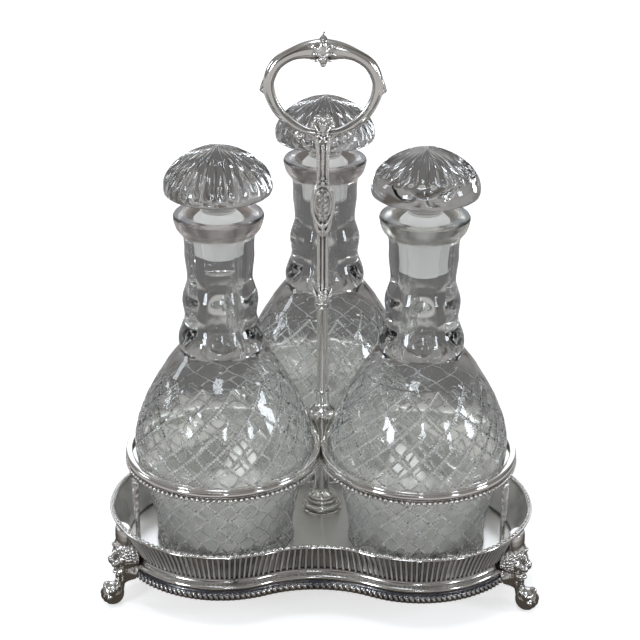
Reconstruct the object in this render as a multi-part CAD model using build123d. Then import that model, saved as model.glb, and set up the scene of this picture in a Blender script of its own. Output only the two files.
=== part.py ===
from build123d import *
from math import atan2, cos, degrees, radians, sin, sqrt
import os

# Three-bottle decanter stand (an open tantalus): a trefoil galleried tray on lion feet, three
# decanters standing in rings, and a central column with a loop handle. Millimetres, +Z up.
# Heights of the bottles, rings and column are above the tray's floor, and the feet's above the
# soles. Everything is drawn round the column's axis, then moved so that the origin is the centre
# of the whole stand, at the level of the soles.

# ---------------------------------------------------------------- decanters
decanter_radius = 59.0
decanter_base_radius = 46.5
decanter_foot_round = 3.0
decanter_belly_height = 73.5
decanter_wall = 4.8
decanter_floor = 9.0
# how the body swells: each share is of the way from the last named radius or height to the next
flank_fullness = 0.45
flank_level = 0.55
shoulder_fall = 0.3
shoulder_level = 0.5
waist_radius = 26.9
waist_height = 142.0
neck_ring_low_radius = 27.4
neck_ring_low_height = 151.0
neck_dip_radius = 23.3
neck_dip_height = 165.0
neck_ring_high_radius = 24.7
neck_ring_high_height = 175.0
throat_radius = 21.2
throat_height = 188.0
neck_column_radius = 21.9
neck_column_height = 200.0
collar_radius = 22.4
collar_height = 213.0
neck_top_radius = 22.9
neck_top_height = 218.6
lip_under_radius = 27.2
lip_under_height = 224.6
lip_radius = 28.9
lip_height = 231.0
lip_edge = 2.4
bore_radius = 9.6
bore_draft = 0.6
mouth_radius = 20.5
mouth_depth = 10.4

# ---------------------------------------------------------------- stoppers
stopper_radius = 34.4
stopper_rise = 43.5
stopper_rim_height = 18.0
stopper_edge_height = 14.8
stopper_edge_radius = 34.0
stopper_waist_radius = 10.8
stopper_waist_height = 1.6
stopper_peg_length = 38.0
peg_collar_radius = 16.2
peg_collar_depth = 4.0
# the form of the head: shares of its radius and rise, and how steeply the dome meets its middle
flare_reach = 0.4
flare_level = 0.5
dome_fullness = 0.55
dome_level = 0.6
apex_slope = 0.45
ground_clearance = 0.2
stopper_seat_gap = 0.6

# ---------------------------------------------------------------- rings
ring_clearance = 1.5
ring_wall = 4.7
ring_band_height = 6.6
ring_band_round = 1.8
ring_bead_height = 3.0
ring_bead_inset = 0.9
ring_solder_flat = 0.2
ring_top_height = 69.6

# ---------------------------------------------------------------- tray
tray_gap = 11.8
bay_radius = 72.0
floor_height = 30.0
floor_thickness = 2.4
gallery_thickness = 1.6
gallery_height = 26.4
gallery_foot_gap = 0.2
rim_height = 2.2
rim_overhang_out = 0.6
rim_overhang_in = 1.2
border_top_height = 6.0
border_step_width = 2.0
border_step_height = 3.8
border_roll_width = 4.0
border_roll_height = 4.2
border_roll_round = 1.8
border_foot_width = 3.0
border_foot_height = 5.6
gadroon_width = 2.8
gadroon_drop = 1.2

# ---------------------------------------------------------------- feet
mask_width = 24.0
mask_height = 37.0
mask_depth = 12.5
mask_rise = 1.2
mask_round = 3.2
leg_width = 8.6
leg_depth = 9.0
leg_arch_height = 15.0
leg_heel_gap = 1.0
paw_radius = 8.5
paw_height = 16.6
paw_round_over = 7.0
paw_round_under = 4.5
paw_reach = 20.6
foot_lug_width = 15.0
foot_lug_thickness = 3.0

# ---------------------------------------------------------------- ring brackets
strap_width = 4.2
strap_thickness = 2.2
leaf_width = 9.0
leaf_height = 30.0
bracket_pad_width = 9.0
bracket_pad_length = 9.0
bracket_pad_thickness = 3.6

# ---------------------------------------------------------------- screws
screw_radius = 1.5
screw_head_radius = 3.0
screw_head_height = 2.0
screw_bite = 2.4
thread_clearance = 0.05

# ---------------------------------------------------------------- column
tie_rod_radius = 2.0
tie_rod_clearance = 0.25
tie_rod_grip = 6.0
tie_rod_end = 1.0
nut_across_flats = 8.0
nut_height = 3.4
washer_radius = 7.0
washer_thickness = 1.2
pedestal_flange_radius = 13.8
pedestal_flange_height = 3.0
pedestal_lower_radius = 10.8
pedestal_lower_height = 7.0
pedestal_upper_radius = 9.2
pedestal_upper_height = 12.0
pedestal_trumpet_radius = 7.4
pedestal_trumpet_height = 16.0
pedestal_waist_radius = 5.55
pedestal_top_radius = 4.3
hub_radius = 5.6
hub_height = 8.0
hub_arm_rise = 8.0
hub_arm_width = 5.0
hub_arm_thickness = 2.6
hub_arm_root = 3.25
baluster_foot_radius = 3.4
baluster_bulge_radius = 9.8
baluster_bulge_height = 22.5
baluster_neck_radius = 4.6
baluster_neck_height = 31.0
baluster_height = 41.0
sleeve_radius = 4.2
sleeve_length = 60.6
collar_flange_radius = 5.6
collar_flange_height = 2.4

# ---------------------------------------------------------------- handle
handle_foot_radius = 7.4
handle_foot_height = 7.0
stem_width = 7.6
stem_thickness = 4.6
stem_length = 114.7
oval_width = 16.5
oval_length = 34.0
oval_thickness = 7.0
oval_height = 69.0
heart_width = 13.0
heart_length = 11.0
heart_rise = 8.3
loop_thickness = 8.4
loop_half_width = 38.3
loop_drop = 38.3
loop_rise = 27.4
loop_side = 7.5
loop_top = 12.6
loop_foot = 5.6
spur_reach = 2.4
spur_length = 7.0
spur_drop = 7.0
finial_width = 9.0
finial_height = 4.4
trim_thickness = 4.2
root_depth = 1.0

# ---------------------------------------------------------------- worked out from the above
station_angles = {"back": 90, "left": 210, "right": 330}
ring_inner_radius = decanter_radius + ring_clearance
ring_outer_radius = ring_inner_radius + ring_wall
half_pitch = ring_outer_radius - ring_solder_flat
station_radius = half_pitch / sin(radians(60))
lobe_radius = ring_outer_radius + tray_gap
centres_apart = lobe_radius + bay_radius
bay_distance = station_radius / 2 + sqrt(centres_apart**2 - half_pitch**2)

# offsets are from the outline of the gallery's top, and the floor is smaller than that outline
floor_offset = gallery_thickness + gallery_foot_gap - tray_gap
step_offset = floor_offset + border_step_width
roll_offset = floor_offset + border_roll_width
skirt_offset = floor_offset + border_foot_width
edge_offset = skirt_offset + gadroon_width

wall_base = floor_height
rim_base = wall_base + gallery_height
rim_top = rim_base + rim_height
floor_base = floor_height - floor_thickness
border_top = floor_height + border_top_height
roll_top = border_top - border_step_height
roll_base = roll_top - border_roll_height
border_base = roll_base - border_foot_height
edge_base = border_base - gadroon_drop
mask_centre = border_top + mask_rise
ring_top = floor_height + ring_top_height
ring_band_base = ring_top - ring_band_height
ring_bead_base = ring_band_base - ring_bead_height
floor_reach = station_radius + lobe_radius + floor_offset
edge_reach = station_radius + lobe_radius + edge_offset
foot_reach = edge_reach + paw_reach
front_reach = station_radius / 2 + lobe_radius + rim_overhang_out
shift = Pos(0, (front_reach - foot_reach) / 2, 0)

hub_top = ring_bead_base - hub_arm_rise
pedestal_top = hub_top - hub_height
baluster_top = hub_top + baluster_height
sleeve_top = baluster_top + sleeve_length
collar_top = sleeve_top + collar_flange_height
stem_top = collar_top + stem_length
loop_level = stem_top + loop_drop
rod_hole_radius = tie_rod_radius + tie_rod_clearance
strap_back = station_radius + ring_outer_radius - strap_thickness
screw_distance = strap_back - bracket_pad_length / 2


def save(node, solid):
    """Writes one node, moved into the part's own frame."""
    export_step(shift * solid, f"parts/{node}.step")


def cylinder_between(radius, low, high):
    return Pos(0, 0, low) * extrude(Circle(radius), high - low)


def turned(edges):
    """Turns a closed outline, drawn as radius and height, about the Z axis."""
    return revolve(Plane.XZ * make_face(edges), Axis.Z)


def block_between(low, high):
    """A block from its lowest to its highest corner."""
    size = [b - a for a, b in zip(low, high)]
    centre = [(a + b) / 2 for a, b in zip(low, high)]
    return Pos(*centre) * Box(*size)


def at_station(name):
    """Where a decanter stands."""
    angle = station_angles[name]
    return Rot(0, 0, angle) * Pos(station_radius, 0, 0)


def towards(name):
    """Turns what was drawn along +X so that it points at a decanter."""
    return Rot(0, 0, station_angles[name])


# ---------------------------------------------------------------- trefoil outlines
def polar(radius, angle):
    """A point on the XY plane."""
    return Vector(radius * cos(radians(angle)), radius * sin(radians(angle)))


def trefoil(offset):
    """Three round lobes joined by three hollow bays, as a face. Offset grows it evenly."""
    lobe = lobe_radius + offset
    bay = bay_radius - offset
    lobe_turn = degrees(atan2(bay_distance * sin(radians(60)), bay_distance / 2 - station_radius))
    edges = []
    for angle in station_angles.values():
        centre = polar(station_radius, angle)
        start = centre + polar(lobe, angle - lobe_turn)
        middle = centre + polar(lobe, angle)
        end = centre + polar(lobe, angle + lobe_turn)
        bay_middle = polar(bay_distance - bay, angle + 60)
        next_start = polar(station_radius, angle + 120) + polar(lobe, angle + 120 - lobe_turn)
        edges.append(ThreePointArc(start, middle, end))
        edges.append(ThreePointArc(end, bay_middle, next_start))
    return make_face(edges)


def trefoil_slab(offset, low, high):
    return Pos(0, 0, low) * extrude(trefoil(offset), high - low)


def trefoil_band(inner, outer, low, high):
    """A wall that follows the trefoil, between two offsets."""
    return trefoil_slab(outer, low, high) - trefoil_slab(inner, low, high)


def trefoil_flare(low_offset, high_offset, low, high):
    """A solid whose outline grows evenly on its way up."""
    sections = [Pos(0, 0, low) * trefoil(low_offset), Pos(0, 0, high) * trefoil(high_offset)]
    return loft(sections, ruled=True)


# ---------------------------------------------------------------- tray
def tray_floor():
    """The flat plate that everything stands on, bored for the tie rod and the foot screws."""
    plate = trefoil_slab(floor_offset, floor_base, floor_height)
    plate -= cylinder_between(rod_hole_radius, floor_base, floor_height)
    for name in station_angles:
        hole = cylinder_between(screw_radius + thread_clearance, floor_base, floor_height)
        plate -= towards(name) * Pos(screw_distance, 0, 0) * hole
    return plate


def gallery_wall():
    """The gallery: an upright foot, then a wall that leans outwards up to the rim."""
    inside = floor_offset - gallery_thickness
    upright = trefoil_band(inside, floor_offset, wall_base, border_top)
    leaning = trefoil_flare(floor_offset, 0, border_top, rim_base)
    leaning -= trefoil_flare(inside, -gallery_thickness, border_top, rim_base)
    return upright + leaning


def gallery_rim():
    inner = -gallery_thickness - rim_overhang_in
    return trefoil_band(inner, rim_overhang_out, rim_base, rim_top)


def base_border():
    """The stamped border round the tray: a step, a half-round roll and a plain skirt."""
    step = trefoil_band(floor_offset, step_offset, roll_top, border_top)
    roll = trefoil_slab(roll_offset, roll_base, roll_top)
    roll = fillet(roll.edges().group_by(Axis.Z)[-1], border_roll_round)
    roll -= trefoil_slab(floor_offset, roll_base, roll_top)
    skirt = trefoil_band(floor_offset, skirt_offset, border_base, roll_base)
    return step + roll + skirt


def gadroon_edge():
    """The ornamental strip soldered round the border's skirt."""
    return trefoil_band(skirt_offset, edge_offset, edge_base, roll_base)


# ---------------------------------------------------------------- feet
def foot(name, tray_space):
    """A cast foot: lion mask over the border, leg, paw, and a lug screwed up under the tray."""
    lug_inner = screw_distance - screw_head_radius - leg_heel_gap
    heel = screw_distance + screw_head_radius + leg_heel_gap
    lug_top = floor_base
    lug_low = lug_top - foot_lug_thickness
    half_lug = foot_lug_width / 2
    lug = block_between((lug_inner, -half_lug, lug_low), (floor_reach, half_lug, lug_top))
    mask_outline = Ellipse(mask_height / 2, mask_width / 2)
    mask = Pos(floor_reach, 0, mask_centre) * Rot(0, -90, 0)
    mask = mask * extrude(mask_outline, floor_reach - edge_reach - mask_depth)
    mask = fillet(mask.edges().group_by(Axis.X)[-1], mask_round)
    leg_front = edge_reach + leg_depth
    leg = Polyline(
        (heel, lug_top),
        (heel, lug_low),
        (floor_reach, leg_arch_height),
        (edge_reach, paw_height / 2),
        (leg_front, paw_height / 2),
        (leg_front, lug_top),
        close=True,
    )
    leg = extrude(Plane.XZ * make_face(leg), leg_width / 2, both=True)
    paw = extrude(Circle(paw_radius), paw_height)
    paw = fillet(paw.edges().group_by(Axis.Z)[-1], paw_round_over)
    paw = fillet(paw.edges().group_by(Axis.Z)[0], paw_round_under)
    paw = Pos(foot_reach - paw_radius, 0, 0) * paw
    screw_hole = Pos(screw_distance, 0, 0) * cylinder_between(
        screw_radius + thread_clearance, lug_low, lug_top
    )
    cast = lug + mask + leg + paw - screw_hole
    return towards(name) * cast - tray_space


def tray_envelope():
    """The space taken by the tray, its border and its gallery, which the feet are shaped to fit."""
    space = trefoil_slab(edge_offset, edge_base, roll_base)
    space -= trefoil_slab(skirt_offset, edge_base, border_base)
    space -= trefoil_slab(floor_offset, border_base, floor_base)
    space += trefoil_slab(roll_offset, roll_base, roll_top)
    space += trefoil_slab(step_offset, roll_top, border_top)
    space += trefoil_flare(floor_offset, 0, border_top, rim_base)
    return space + trefoil_slab(rim_overhang_out, rim_base, rim_top)


def foot_screws():
    """One screw to a foot: up through the lug and the tray into the bracket's pad."""
    head_top = floor_base - foot_lug_thickness
    shank_top = floor_height + screw_bite
    screw = cylinder_between(screw_head_radius, head_top - screw_head_height, head_top)
    screw += cylinder_between(screw_radius, head_top, shank_top)
    places = [towards(name) * Pos(screw_distance, 0, 0) for name in station_angles]
    return Compound([place * screw for place in places])


# ---------------------------------------------------------------- rings and brackets
def ring_sector(name):
    """The third of the plan that belongs to one ring, so that the rings meet on flats."""
    reach = 4 * station_radius
    corners = [(0, 0), polar(reach, -60), polar(2 * reach, 0), polar(reach, 60)]
    wedge = make_face(Polyline(*corners, close=True))
    return towards(name) * extrude(wedge, ring_top)


def ring(name):
    section = Pos(ring_outer_radius - ring_wall / 2, ring_top - ring_band_height / 2)
    section = section * RectangleRounded(ring_wall, ring_band_height, ring_band_round)
    band = revolve(Plane.XZ * section, Axis.Z)
    return (at_station(name) * band) & ring_sector(name)


def ring_beading(name):
    """The beaded wire under a ring."""
    inner = ring_inner_radius + ring_bead_inset
    wire = cylinder_between(ring_outer_radius, ring_bead_base, ring_band_base)
    wire -= cylinder_between(inner, ring_bead_base, ring_band_base)
    return (at_station(name) * wire) & ring_sector(name)


def bracket(name):
    """An upright from the tray to the outside of a ring, with a leaf on its upper half."""
    front = strap_back + strap_thickness
    half_strap = strap_width / 2
    strap_low = (strap_back, -half_strap, floor_height)
    strap = block_between(strap_low, (front, half_strap, ring_bead_base))
    leaf = Rot(0, -90, 0) * extrude(Ellipse(leaf_height / 2, leaf_width / 2), strap_thickness)
    leaf = Pos(front, 0, ring_bead_base - leaf_height / 2) * leaf
    half_pad = bracket_pad_width / 2
    pad_end = strap_back - bracket_pad_length
    pad_top = floor_height + bracket_pad_thickness
    pad = block_between((pad_end, -half_pad, floor_height), (strap_back, half_pad, pad_top))
    hole = cylinder_between(screw_radius + thread_clearance, floor_height, floor_height + screw_bite)
    return towards(name) * (strap + leaf + pad - Pos(screw_distance, 0, 0) * hole)


# ---------------------------------------------------------------- column
def pedestal():
    """The turned foot of the column: flange, two rings and a trumpet."""
    rises = [
        (pedestal_flange_radius, pedestal_flange_height),
        (pedestal_lower_radius, pedestal_lower_height),
        (pedestal_upper_radius, pedestal_upper_height),
    ]
    outline = [(rod_hole_radius, floor_height)]
    level = floor_height
    for radius, height in rises:
        outline.append((radius, level))
        level = floor_height + height
        outline.append((radius, level))
    trumpet_start = (pedestal_trumpet_radius, level)
    trumpet_middle = (pedestal_waist_radius, floor_height + pedestal_trumpet_height)
    trumpet_end = (pedestal_top_radius, pedestal_top)
    lower = Polyline(*outline, trumpet_start)
    trumpet = Spline(trumpet_start, trumpet_middle, trumpet_end)
    closing = Polyline(trumpet_end, (rod_hole_radius, pedestal_top), outline[0])
    return turned([lower, trumpet, closing])


def ring_hub():
    """The boss on the column, with an arm up to each ring."""
    hub = cylinder_between(hub_radius, pedestal_top, hub_top)
    gap = station_radius - ring_outer_radius
    outer = gap + ring_wall - ring_bead_inset
    inner = outer - hub_arm_thickness
    knee = hub_top + hub_arm_thickness
    arm = Polyline(
        (hub_arm_root, pedestal_top),
        ((outer + inner) / 2, hub_top),
        (outer, knee),
        (outer, ring_bead_base),
        (inner, ring_bead_base),
        (inner, knee),
        (hub_arm_root, pedestal_top + hub_height / 2),
        close=True,
    )
    arm = extrude(Plane.XZ * make_face(arm), hub_arm_width / 2, both=True)
    for name in station_angles:
        hub += towards(name) * arm
    return hub - cylinder_between(rod_hole_radius, pedestal_top, hub_top)


def baluster():
    """The inverted pear above the rings."""
    foot_point = (baluster_foot_radius, hub_top)
    bulge = (baluster_bulge_radius, hub_top + baluster_bulge_height)
    neck = (baluster_neck_radius, hub_top + baluster_neck_height)
    top = (sleeve_radius, baluster_top)
    cone = Line(foot_point, bulge)
    shoulder = Spline(bulge, neck, top, tangents=[(0, 1), (0, 1)])
    closing = Polyline(top, (rod_hole_radius, baluster_top), (rod_hole_radius, hub_top), foot_point)
    return turned([cone, shoulder, closing])


def tube(radius, low, high):
    return cylinder_between(radius, low, high) - cylinder_between(rod_hole_radius, low, high)


def tie_rod():
    """The rod through the column, from below the tray up into the handle."""
    low = floor_base - washer_thickness - nut_height - tie_rod_end
    return cylinder_between(tie_rod_radius, low, collar_top + tie_rod_grip)


def base_washer():
    return tube(washer_radius, floor_base - washer_thickness, floor_base)


def base_nut():
    top = floor_base - washer_thickness
    hexagon = RegularPolygon(nut_across_flats / 2, 6, major_radius=False)
    nut = Pos(0, 0, top - nut_height) * extrude(hexagon, nut_height)
    return nut - cylinder_between(tie_rod_radius + thread_clearance, top - nut_height, top)


# ---------------------------------------------------------------- handle
def loop_outline(half_width, low, high):
    """A closed outline of two arcs that meet at the loop's widest level."""
    left = (-half_width, loop_level)
    right = (half_width, loop_level)
    under = ThreePointArc(left, (0, loop_level - low), right)
    over = ThreePointArc(right, (0, loop_level + high), left)
    return make_face([under, over])


def loop():
    outer = loop_outline(loop_half_width, loop_drop, loop_rise)
    inner = loop_outline(
        loop_half_width - loop_side, loop_drop - loop_foot, loop_rise - loop_top
    )
    return outer - inner


def handle():
    """One casting: threaded foot, flat stem, beaded oval, heart, and the loop with its spurs."""
    foot_top = collar_top + handle_foot_height
    body = loft(
        [
            Pos(0, 0, collar_top) * Circle(sleeve_radius),
            Pos(0, 0, foot_top) * Circle(handle_foot_radius),
        ]
    )
    body += block_between(
        (-stem_width / 2, -stem_thickness / 2, collar_top),
        (stem_width / 2, stem_thickness / 2, stem_top + root_depth),
    )
    oval = Pos(0, collar_top + oval_height) * Ellipse(oval_width / 2, oval_length / 2)
    heart = Pos(0, stem_top + heart_rise) * Ellipse(heart_width / 2, heart_length / 2)
    spur_level = loop_level - spur_drop
    spur_tip = loop_half_width + spur_reach
    inside = loop_half_width - loop_side / 2
    crown = loop_level + loop_rise
    finial = Polyline(
        (-finial_width / 2, crown - root_depth),
        (0, crown + finial_height),
        (finial_width / 2, crown - root_depth),
        close=True,
    )
    body += extrude(Plane.XZ * oval, oval_thickness / 2, both=True)
    body += extrude(Plane.XZ * heart, oval_thickness / 2, both=True)
    body += extrude(Plane.XZ * loop(), loop_thickness / 2, both=True)
    body += extrude(Plane.XZ * make_face(finial), trim_thickness / 2, both=True)
    for side in (-1, 1):
        spur = Polyline(
            (side * inside, spur_level - spur_length / 2),
            (side * spur_tip, spur_level),
            (side * inside, spur_level + spur_length / 2),
            close=True,
        )
        body += extrude(Plane.XZ * make_face(spur), trim_thickness / 2, both=True)
    thread = cylinder_between(
        tie_rod_radius + thread_clearance, collar_top, collar_top + tie_rod_grip
    )
    return body - thread


# ---------------------------------------------------------------- decanters and stoppers
def body_points(inset):
    """The swelling body from its foot to the waist, moved in by the wall's thickness."""
    swell = decanter_radius - decanter_base_radius
    fall = decanter_radius - waist_radius
    climb = waist_height - decanter_belly_height
    flank = (decanter_base_radius + swell * flank_fullness, decanter_belly_height * flank_level)
    belly = (decanter_radius, decanter_belly_height)
    shoulder = (decanter_radius - fall * shoulder_fall, decanter_belly_height + climb * shoulder_level)
    points = [flank, belly, shoulder, (waist_radius, waist_height)]
    return [(radius - inset, height) for radius, height in points]


def neck_points():
    return [
        (waist_radius, waist_height),
        (neck_ring_low_radius, neck_ring_low_height),
        (neck_dip_radius, neck_dip_height),
        (neck_ring_high_radius, neck_ring_high_height),
        (throat_radius, throat_height),
        (neck_column_radius, neck_column_height),
        (collar_radius, collar_height),
        (neck_top_radius, neck_top_height),
    ]


def decanter():
    """A hollow bottle with a thick base and a tapered, ground mouth."""
    round_start = (decanter_base_radius - decanter_foot_round, 0)
    round_end = (decanter_base_radius, decanter_foot_round)
    mouth_height = lip_height + lip_edge
    lip_under = (lip_under_radius, lip_under_height)
    lip = (lip_radius - lip_edge / 2, mouth_height)
    outer = [
        Line((0, 0), round_start),
        RadiusArc(round_start, round_end, -decanter_foot_round),
        Spline(round_end, *body_points(0)),
        Spline(*neck_points()),
        Polyline(neck_points()[-1], lip_under, (lip_radius, lip_height), lip, (0, mouth_height), (0, 0)),
    ]
    solid = turned(outer)
    inner_points = body_points(decanter_wall)
    inner_foot = (decanter_base_radius - 2 * decanter_wall, decanter_floor)
    bore_high = (bore_radius + bore_draft, mouth_height - mouth_depth)
    bore_low = (bore_radius, mouth_height - stopper_peg_length)
    bore_start = (bore_radius, waist_height)
    cavity = [
        Line((0, decanter_floor), inner_foot),
        Spline(inner_foot, *inner_points[:-1], bore_start),
        Polyline(bore_start, bore_low, bore_high, (mouth_radius, mouth_height), (0, mouth_height), (0, decanter_floor)),
    ]
    return solid - turned(cavity)


def stopper():
    """A mushroom stopper. Its ground peg tapers like the bottle's mouth, and spreads a little at the top."""
    mouth = lip_height + lip_edge
    seat = mouth + stopper_seat_gap
    peg_base = mouth - stopper_peg_length
    peg_low = (bore_radius - ground_clearance, peg_base)
    peg_high = (bore_radius + bore_draft - ground_clearance, mouth - mouth_depth)
    peg_collar = (peg_collar_radius, mouth - peg_collar_depth)
    waist = (stopper_waist_radius, mouth + stopper_waist_height)
    edge = (stopper_edge_radius, seat + stopper_edge_height)
    flare_radius = stopper_waist_radius + (stopper_edge_radius - stopper_waist_radius) * flare_reach
    flare = (flare_radius, waist[1] + (edge[1] - waist[1]) * flare_level)
    rim_level = seat + stopper_rim_height
    dome_rise = stopper_rise - stopper_rim_height
    rim = (stopper_radius, rim_level)
    apex = (0, rim_level + dome_rise)
    dome = (stopper_radius * dome_fullness, rim_level + dome_rise * dome_level)
    outline = [
        Polyline(apex, (0, peg_base), peg_low, peg_high, peg_collar, waist),
        Spline(waist, flare, edge),
        Line(edge, rim),
        Spline(rim, dome, apex, tangents=[(0, 1), (-1, apex_slope)]),
    ]
    return turned(outline)


# ---------------------------------------------------------------- every node
os.makedirs("parts", exist_ok=True)
tray_space = tray_envelope()
one_decanter = Pos(0, 0, floor_height) * decanter()
one_stopper = Pos(0, 0, floor_height) * stopper()

save("tray_floor", tray_floor())
save("gallery_wall", gallery_wall())
save("gallery_rim", gallery_rim())
save("base_border", base_border())
save("gadroon_edge", gadroon_edge())
save("foot_screws", foot_screws())
save("pedestal", pedestal())
save("ring_hub", ring_hub())
save("baluster", baluster())
save("column_sleeve", tube(sleeve_radius, baluster_top, sleeve_top))
save("handle_collar", tube(collar_flange_radius, sleeve_top, collar_top))
save("handle", handle())
save("tie_rod", tie_rod())
save("base_washer", base_washer())
save("base_nut", base_nut())
for name in station_angles:
    save(f"foot_{name}", foot(name, tray_space))
    save(f"bracket_{name}", bracket(name))
    save(f"ring_{name}", ring(name))
    save(f"ring_beading_{name}", ring_beading(name))
    save(f"decanter_{name}", at_station(name) * one_decanter)
    save(f"stopper_{name}", at_station(name) * one_stopper)
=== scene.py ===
from math import atan2, cos, pi, radians, sin, sqrt, tau

import bmesh
import bpy
import numpy as np
from bpy.props import FloatProperty, FloatVectorProperty, IntProperty, PointerProperty
from mathutils import Matrix, Vector


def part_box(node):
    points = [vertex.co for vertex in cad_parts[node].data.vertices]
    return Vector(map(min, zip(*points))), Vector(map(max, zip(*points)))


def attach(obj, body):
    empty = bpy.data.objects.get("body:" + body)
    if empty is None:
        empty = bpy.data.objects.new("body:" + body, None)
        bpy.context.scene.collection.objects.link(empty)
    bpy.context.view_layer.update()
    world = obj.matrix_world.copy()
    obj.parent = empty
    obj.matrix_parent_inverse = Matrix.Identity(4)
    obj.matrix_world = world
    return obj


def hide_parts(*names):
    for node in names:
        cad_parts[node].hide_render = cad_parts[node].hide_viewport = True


bl_info = {
    "name": "Three-bottle decanter stand",
    "version": (1, 0, 0),
    "blender": (4, 5, 0),
    "location": "View3D > Sidebar > Decanter stand",
    "description": "Silver stand on lion feet, with three cut-glass decanters and a loop handle",
    "category": "Add Mesh",
}

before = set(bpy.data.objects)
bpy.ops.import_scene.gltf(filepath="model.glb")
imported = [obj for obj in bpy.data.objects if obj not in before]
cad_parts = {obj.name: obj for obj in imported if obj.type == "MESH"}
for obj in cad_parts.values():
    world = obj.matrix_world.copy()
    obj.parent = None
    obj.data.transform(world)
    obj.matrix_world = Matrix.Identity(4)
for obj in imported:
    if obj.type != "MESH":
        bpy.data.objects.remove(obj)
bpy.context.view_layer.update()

MM = 0.001
STATIONS = ("back", "left", "right")


# ---------------------------------------------------------------- places read from the frame, in mm
def box_mm(node):
    """The lowest and the highest corner of a node."""
    low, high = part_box(node)
    return np.array(low) / MM, np.array(high) / MM


def axis_of(node):
    """The upright axis of a turned node, as x and y."""
    low, high = box_mm(node)
    return (low[:2] + high[:2]) / 2


def levels_of(node):
    """The lowest and highest level of a node."""
    low, high = box_mm(node)
    return low[2], high[2]


def offset_of(node):
    """How far a node of the tray reaches past the outline of the gallery's top."""
    return box_mm(node)[1][0] - STATION["right"][0] - LOBE_RADIUS


COLUMN = axis_of("column_sleeve")
STATION = {name: axis_of(f"decanter_{name}") for name in STATIONS}
STATION_RADIUS = float(np.linalg.norm(STATION["right"] - COLUMN))
STATION_ANGLE = {name: atan2(*(STATION[name] - COLUMN)[::-1]) for name in STATIONS}
LOBE_RADIUS = box_mm("gallery_wall")[1][0] - STATION["right"][0]
RING_OUTER = box_mm("ring_right")[1][0] - STATION["right"][0]


# ---------------------------------------------------------------- what a user may change
def colour_setting(name, default, description):
    """A colour that a user may change."""
    return FloatVectorProperty(
        name=name, description=description, subtype="COLOR", size=3, default=default, min=0, max=1
    )


def length_setting(name, default, least, description):
    """A length that a user may change. The default and the least value are in mm."""
    return FloatProperty(
        name=name, description=description, unit="LENGTH", default=default * MM, min=least * MM
    )


def count_setting(name, default, description):
    """A number of cuts round a piece of glass that a user may change."""
    return IntProperty(name=name, description=description, default=default, min=6, max=60)


class TantalusStage(bpy.types.PropertyGroup):
    """The room that the stand is shown in."""

    room_grey: FloatProperty(
        name="Room",
        description="How light the room is that the metal and glass show",
        default=0.35,
        min=0,
        max=1,
    )
    floor_colour: colour_setting(
        "Floor", (0.93, 0.93, 0.93), "Colour of the floor as seen directly"
    )
    floor_glow: FloatProperty(
        name="Floor glow",
        description="Light added to the floor as seen directly",
        default=0.6,
        min=0,
        max=1,
    )
    # Painted shadow: the floor glows this dark colour near the stand, but only in what the metal
    # reflects.
    reflected_shadow_near: colour_setting(
        "Table", (0.07, 0.06, 0.05),
        "Colour of the table that the metal reflects, close to the stand"
    )
    # Painted reflection: the colour the floor glows farther off, in what the metal reflects.
    reflected_floor_beyond: colour_setting(
        "Table beyond", (0.5, 0.49, 0.49),
        "Colour of the table that the metal reflects, farther off"
    )
    # Painted light: the floor glows this bright colour near the stand, but only as seen through the
    # glass.
    refracted_light_near: colour_setting(
        "Table near", (0.5, 0.49, 0.475),
        "Colour of the table seen through the glass, close to the stand"
    )
    # Painted light: the dimmer colour the floor glows farther off, as seen through the glass.
    refracted_floor_far: colour_setting(
        "Table far", (0.12, 0.118, 0.118), "Colour of the table seen through the glass, farther off"
    )
    window_light: FloatProperty(
        name="Windows", description="Brightness of the windows", default=18.0, min=0
    )


class TantalusTray(bpy.types.PropertyGroup):
    """The galleried tray and its border."""

    bay_radius: length_setting("Bay radius", 72, 10, "Radius of the hollow bays between the lobes")
    rib_pitch: length_setting("Rib pitch", 3.65, 1, "Distance between the ribs of the gallery")
    bead_pitch: length_setting("Bead pitch", 4.25, 1, "Distance between the beads of the rim")
    gadroon_pitch: length_setting(
        "Gadroon pitch", 3.75, 1, "Distance between the slanting lobes of the lower edge"
    )


class TantalusRings(bpy.types.PropertyGroup):
    """The rings round the decanters."""

    bead_pitch: length_setting("Bead pitch", 3.54, 1, "Distance between the beads under a ring")


class TantalusGlass(bpy.types.PropertyGroup):
    """The cutting of the decanters and stoppers."""

    diamonds: count_setting("Diamonds", 24, "Diamonds round a decanter")
    groove_depth: length_setting(
        "Groove depth", 0.6, 0, "Depth of the grooves between the diamonds"
    )
    diamond_tilt: length_setting("Diamond tilt", 0.42, 0, "How unevenly the diamonds are cut")
    flutes: count_setting("Flutes", 24, "Flutes round the head of a stopper")
    flute_depth: length_setting("Flute depth", 1.2, 0, "Depth of the flutes on a stopper")


class TantalusSilver(bpy.types.PropertyGroup):
    """The finish of the metal."""

    colour: colour_setting("Silver", (0.86, 0.845, 0.815), "Colour of the polished plate")
    # Colour of the hollows: painted shade and tarnishing.
    tarnish: colour_setting("Tarnish", (0.16, 0.145, 0.13), "Colour of the plate in its hollows")


SETTINGS = {
    "tantalus_stage": TantalusStage,
    "tantalus_tray": TantalusTray,
    "tantalus_rings": TantalusRings,
    "tantalus_glass": TantalusGlass,
    "tantalus_silver": TantalusSilver,
}


# ---------------------------------------------------------------- node helpers
def add_node(tree, kind, **settings):
    """A new node with some of its settings changed."""
    node = tree.nodes.new(kind)
    for key, value in settings.items():
        setattr(node, key, value)
    return node


def link(source, socket):
    """Feeds a socket from another one."""
    socket.id_data.links.new(source, socket)


def preset(node, values):
    """Sets a node's free inputs by their names."""
    for title, value in values.items():
        node.inputs[title].default_value = value


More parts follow.
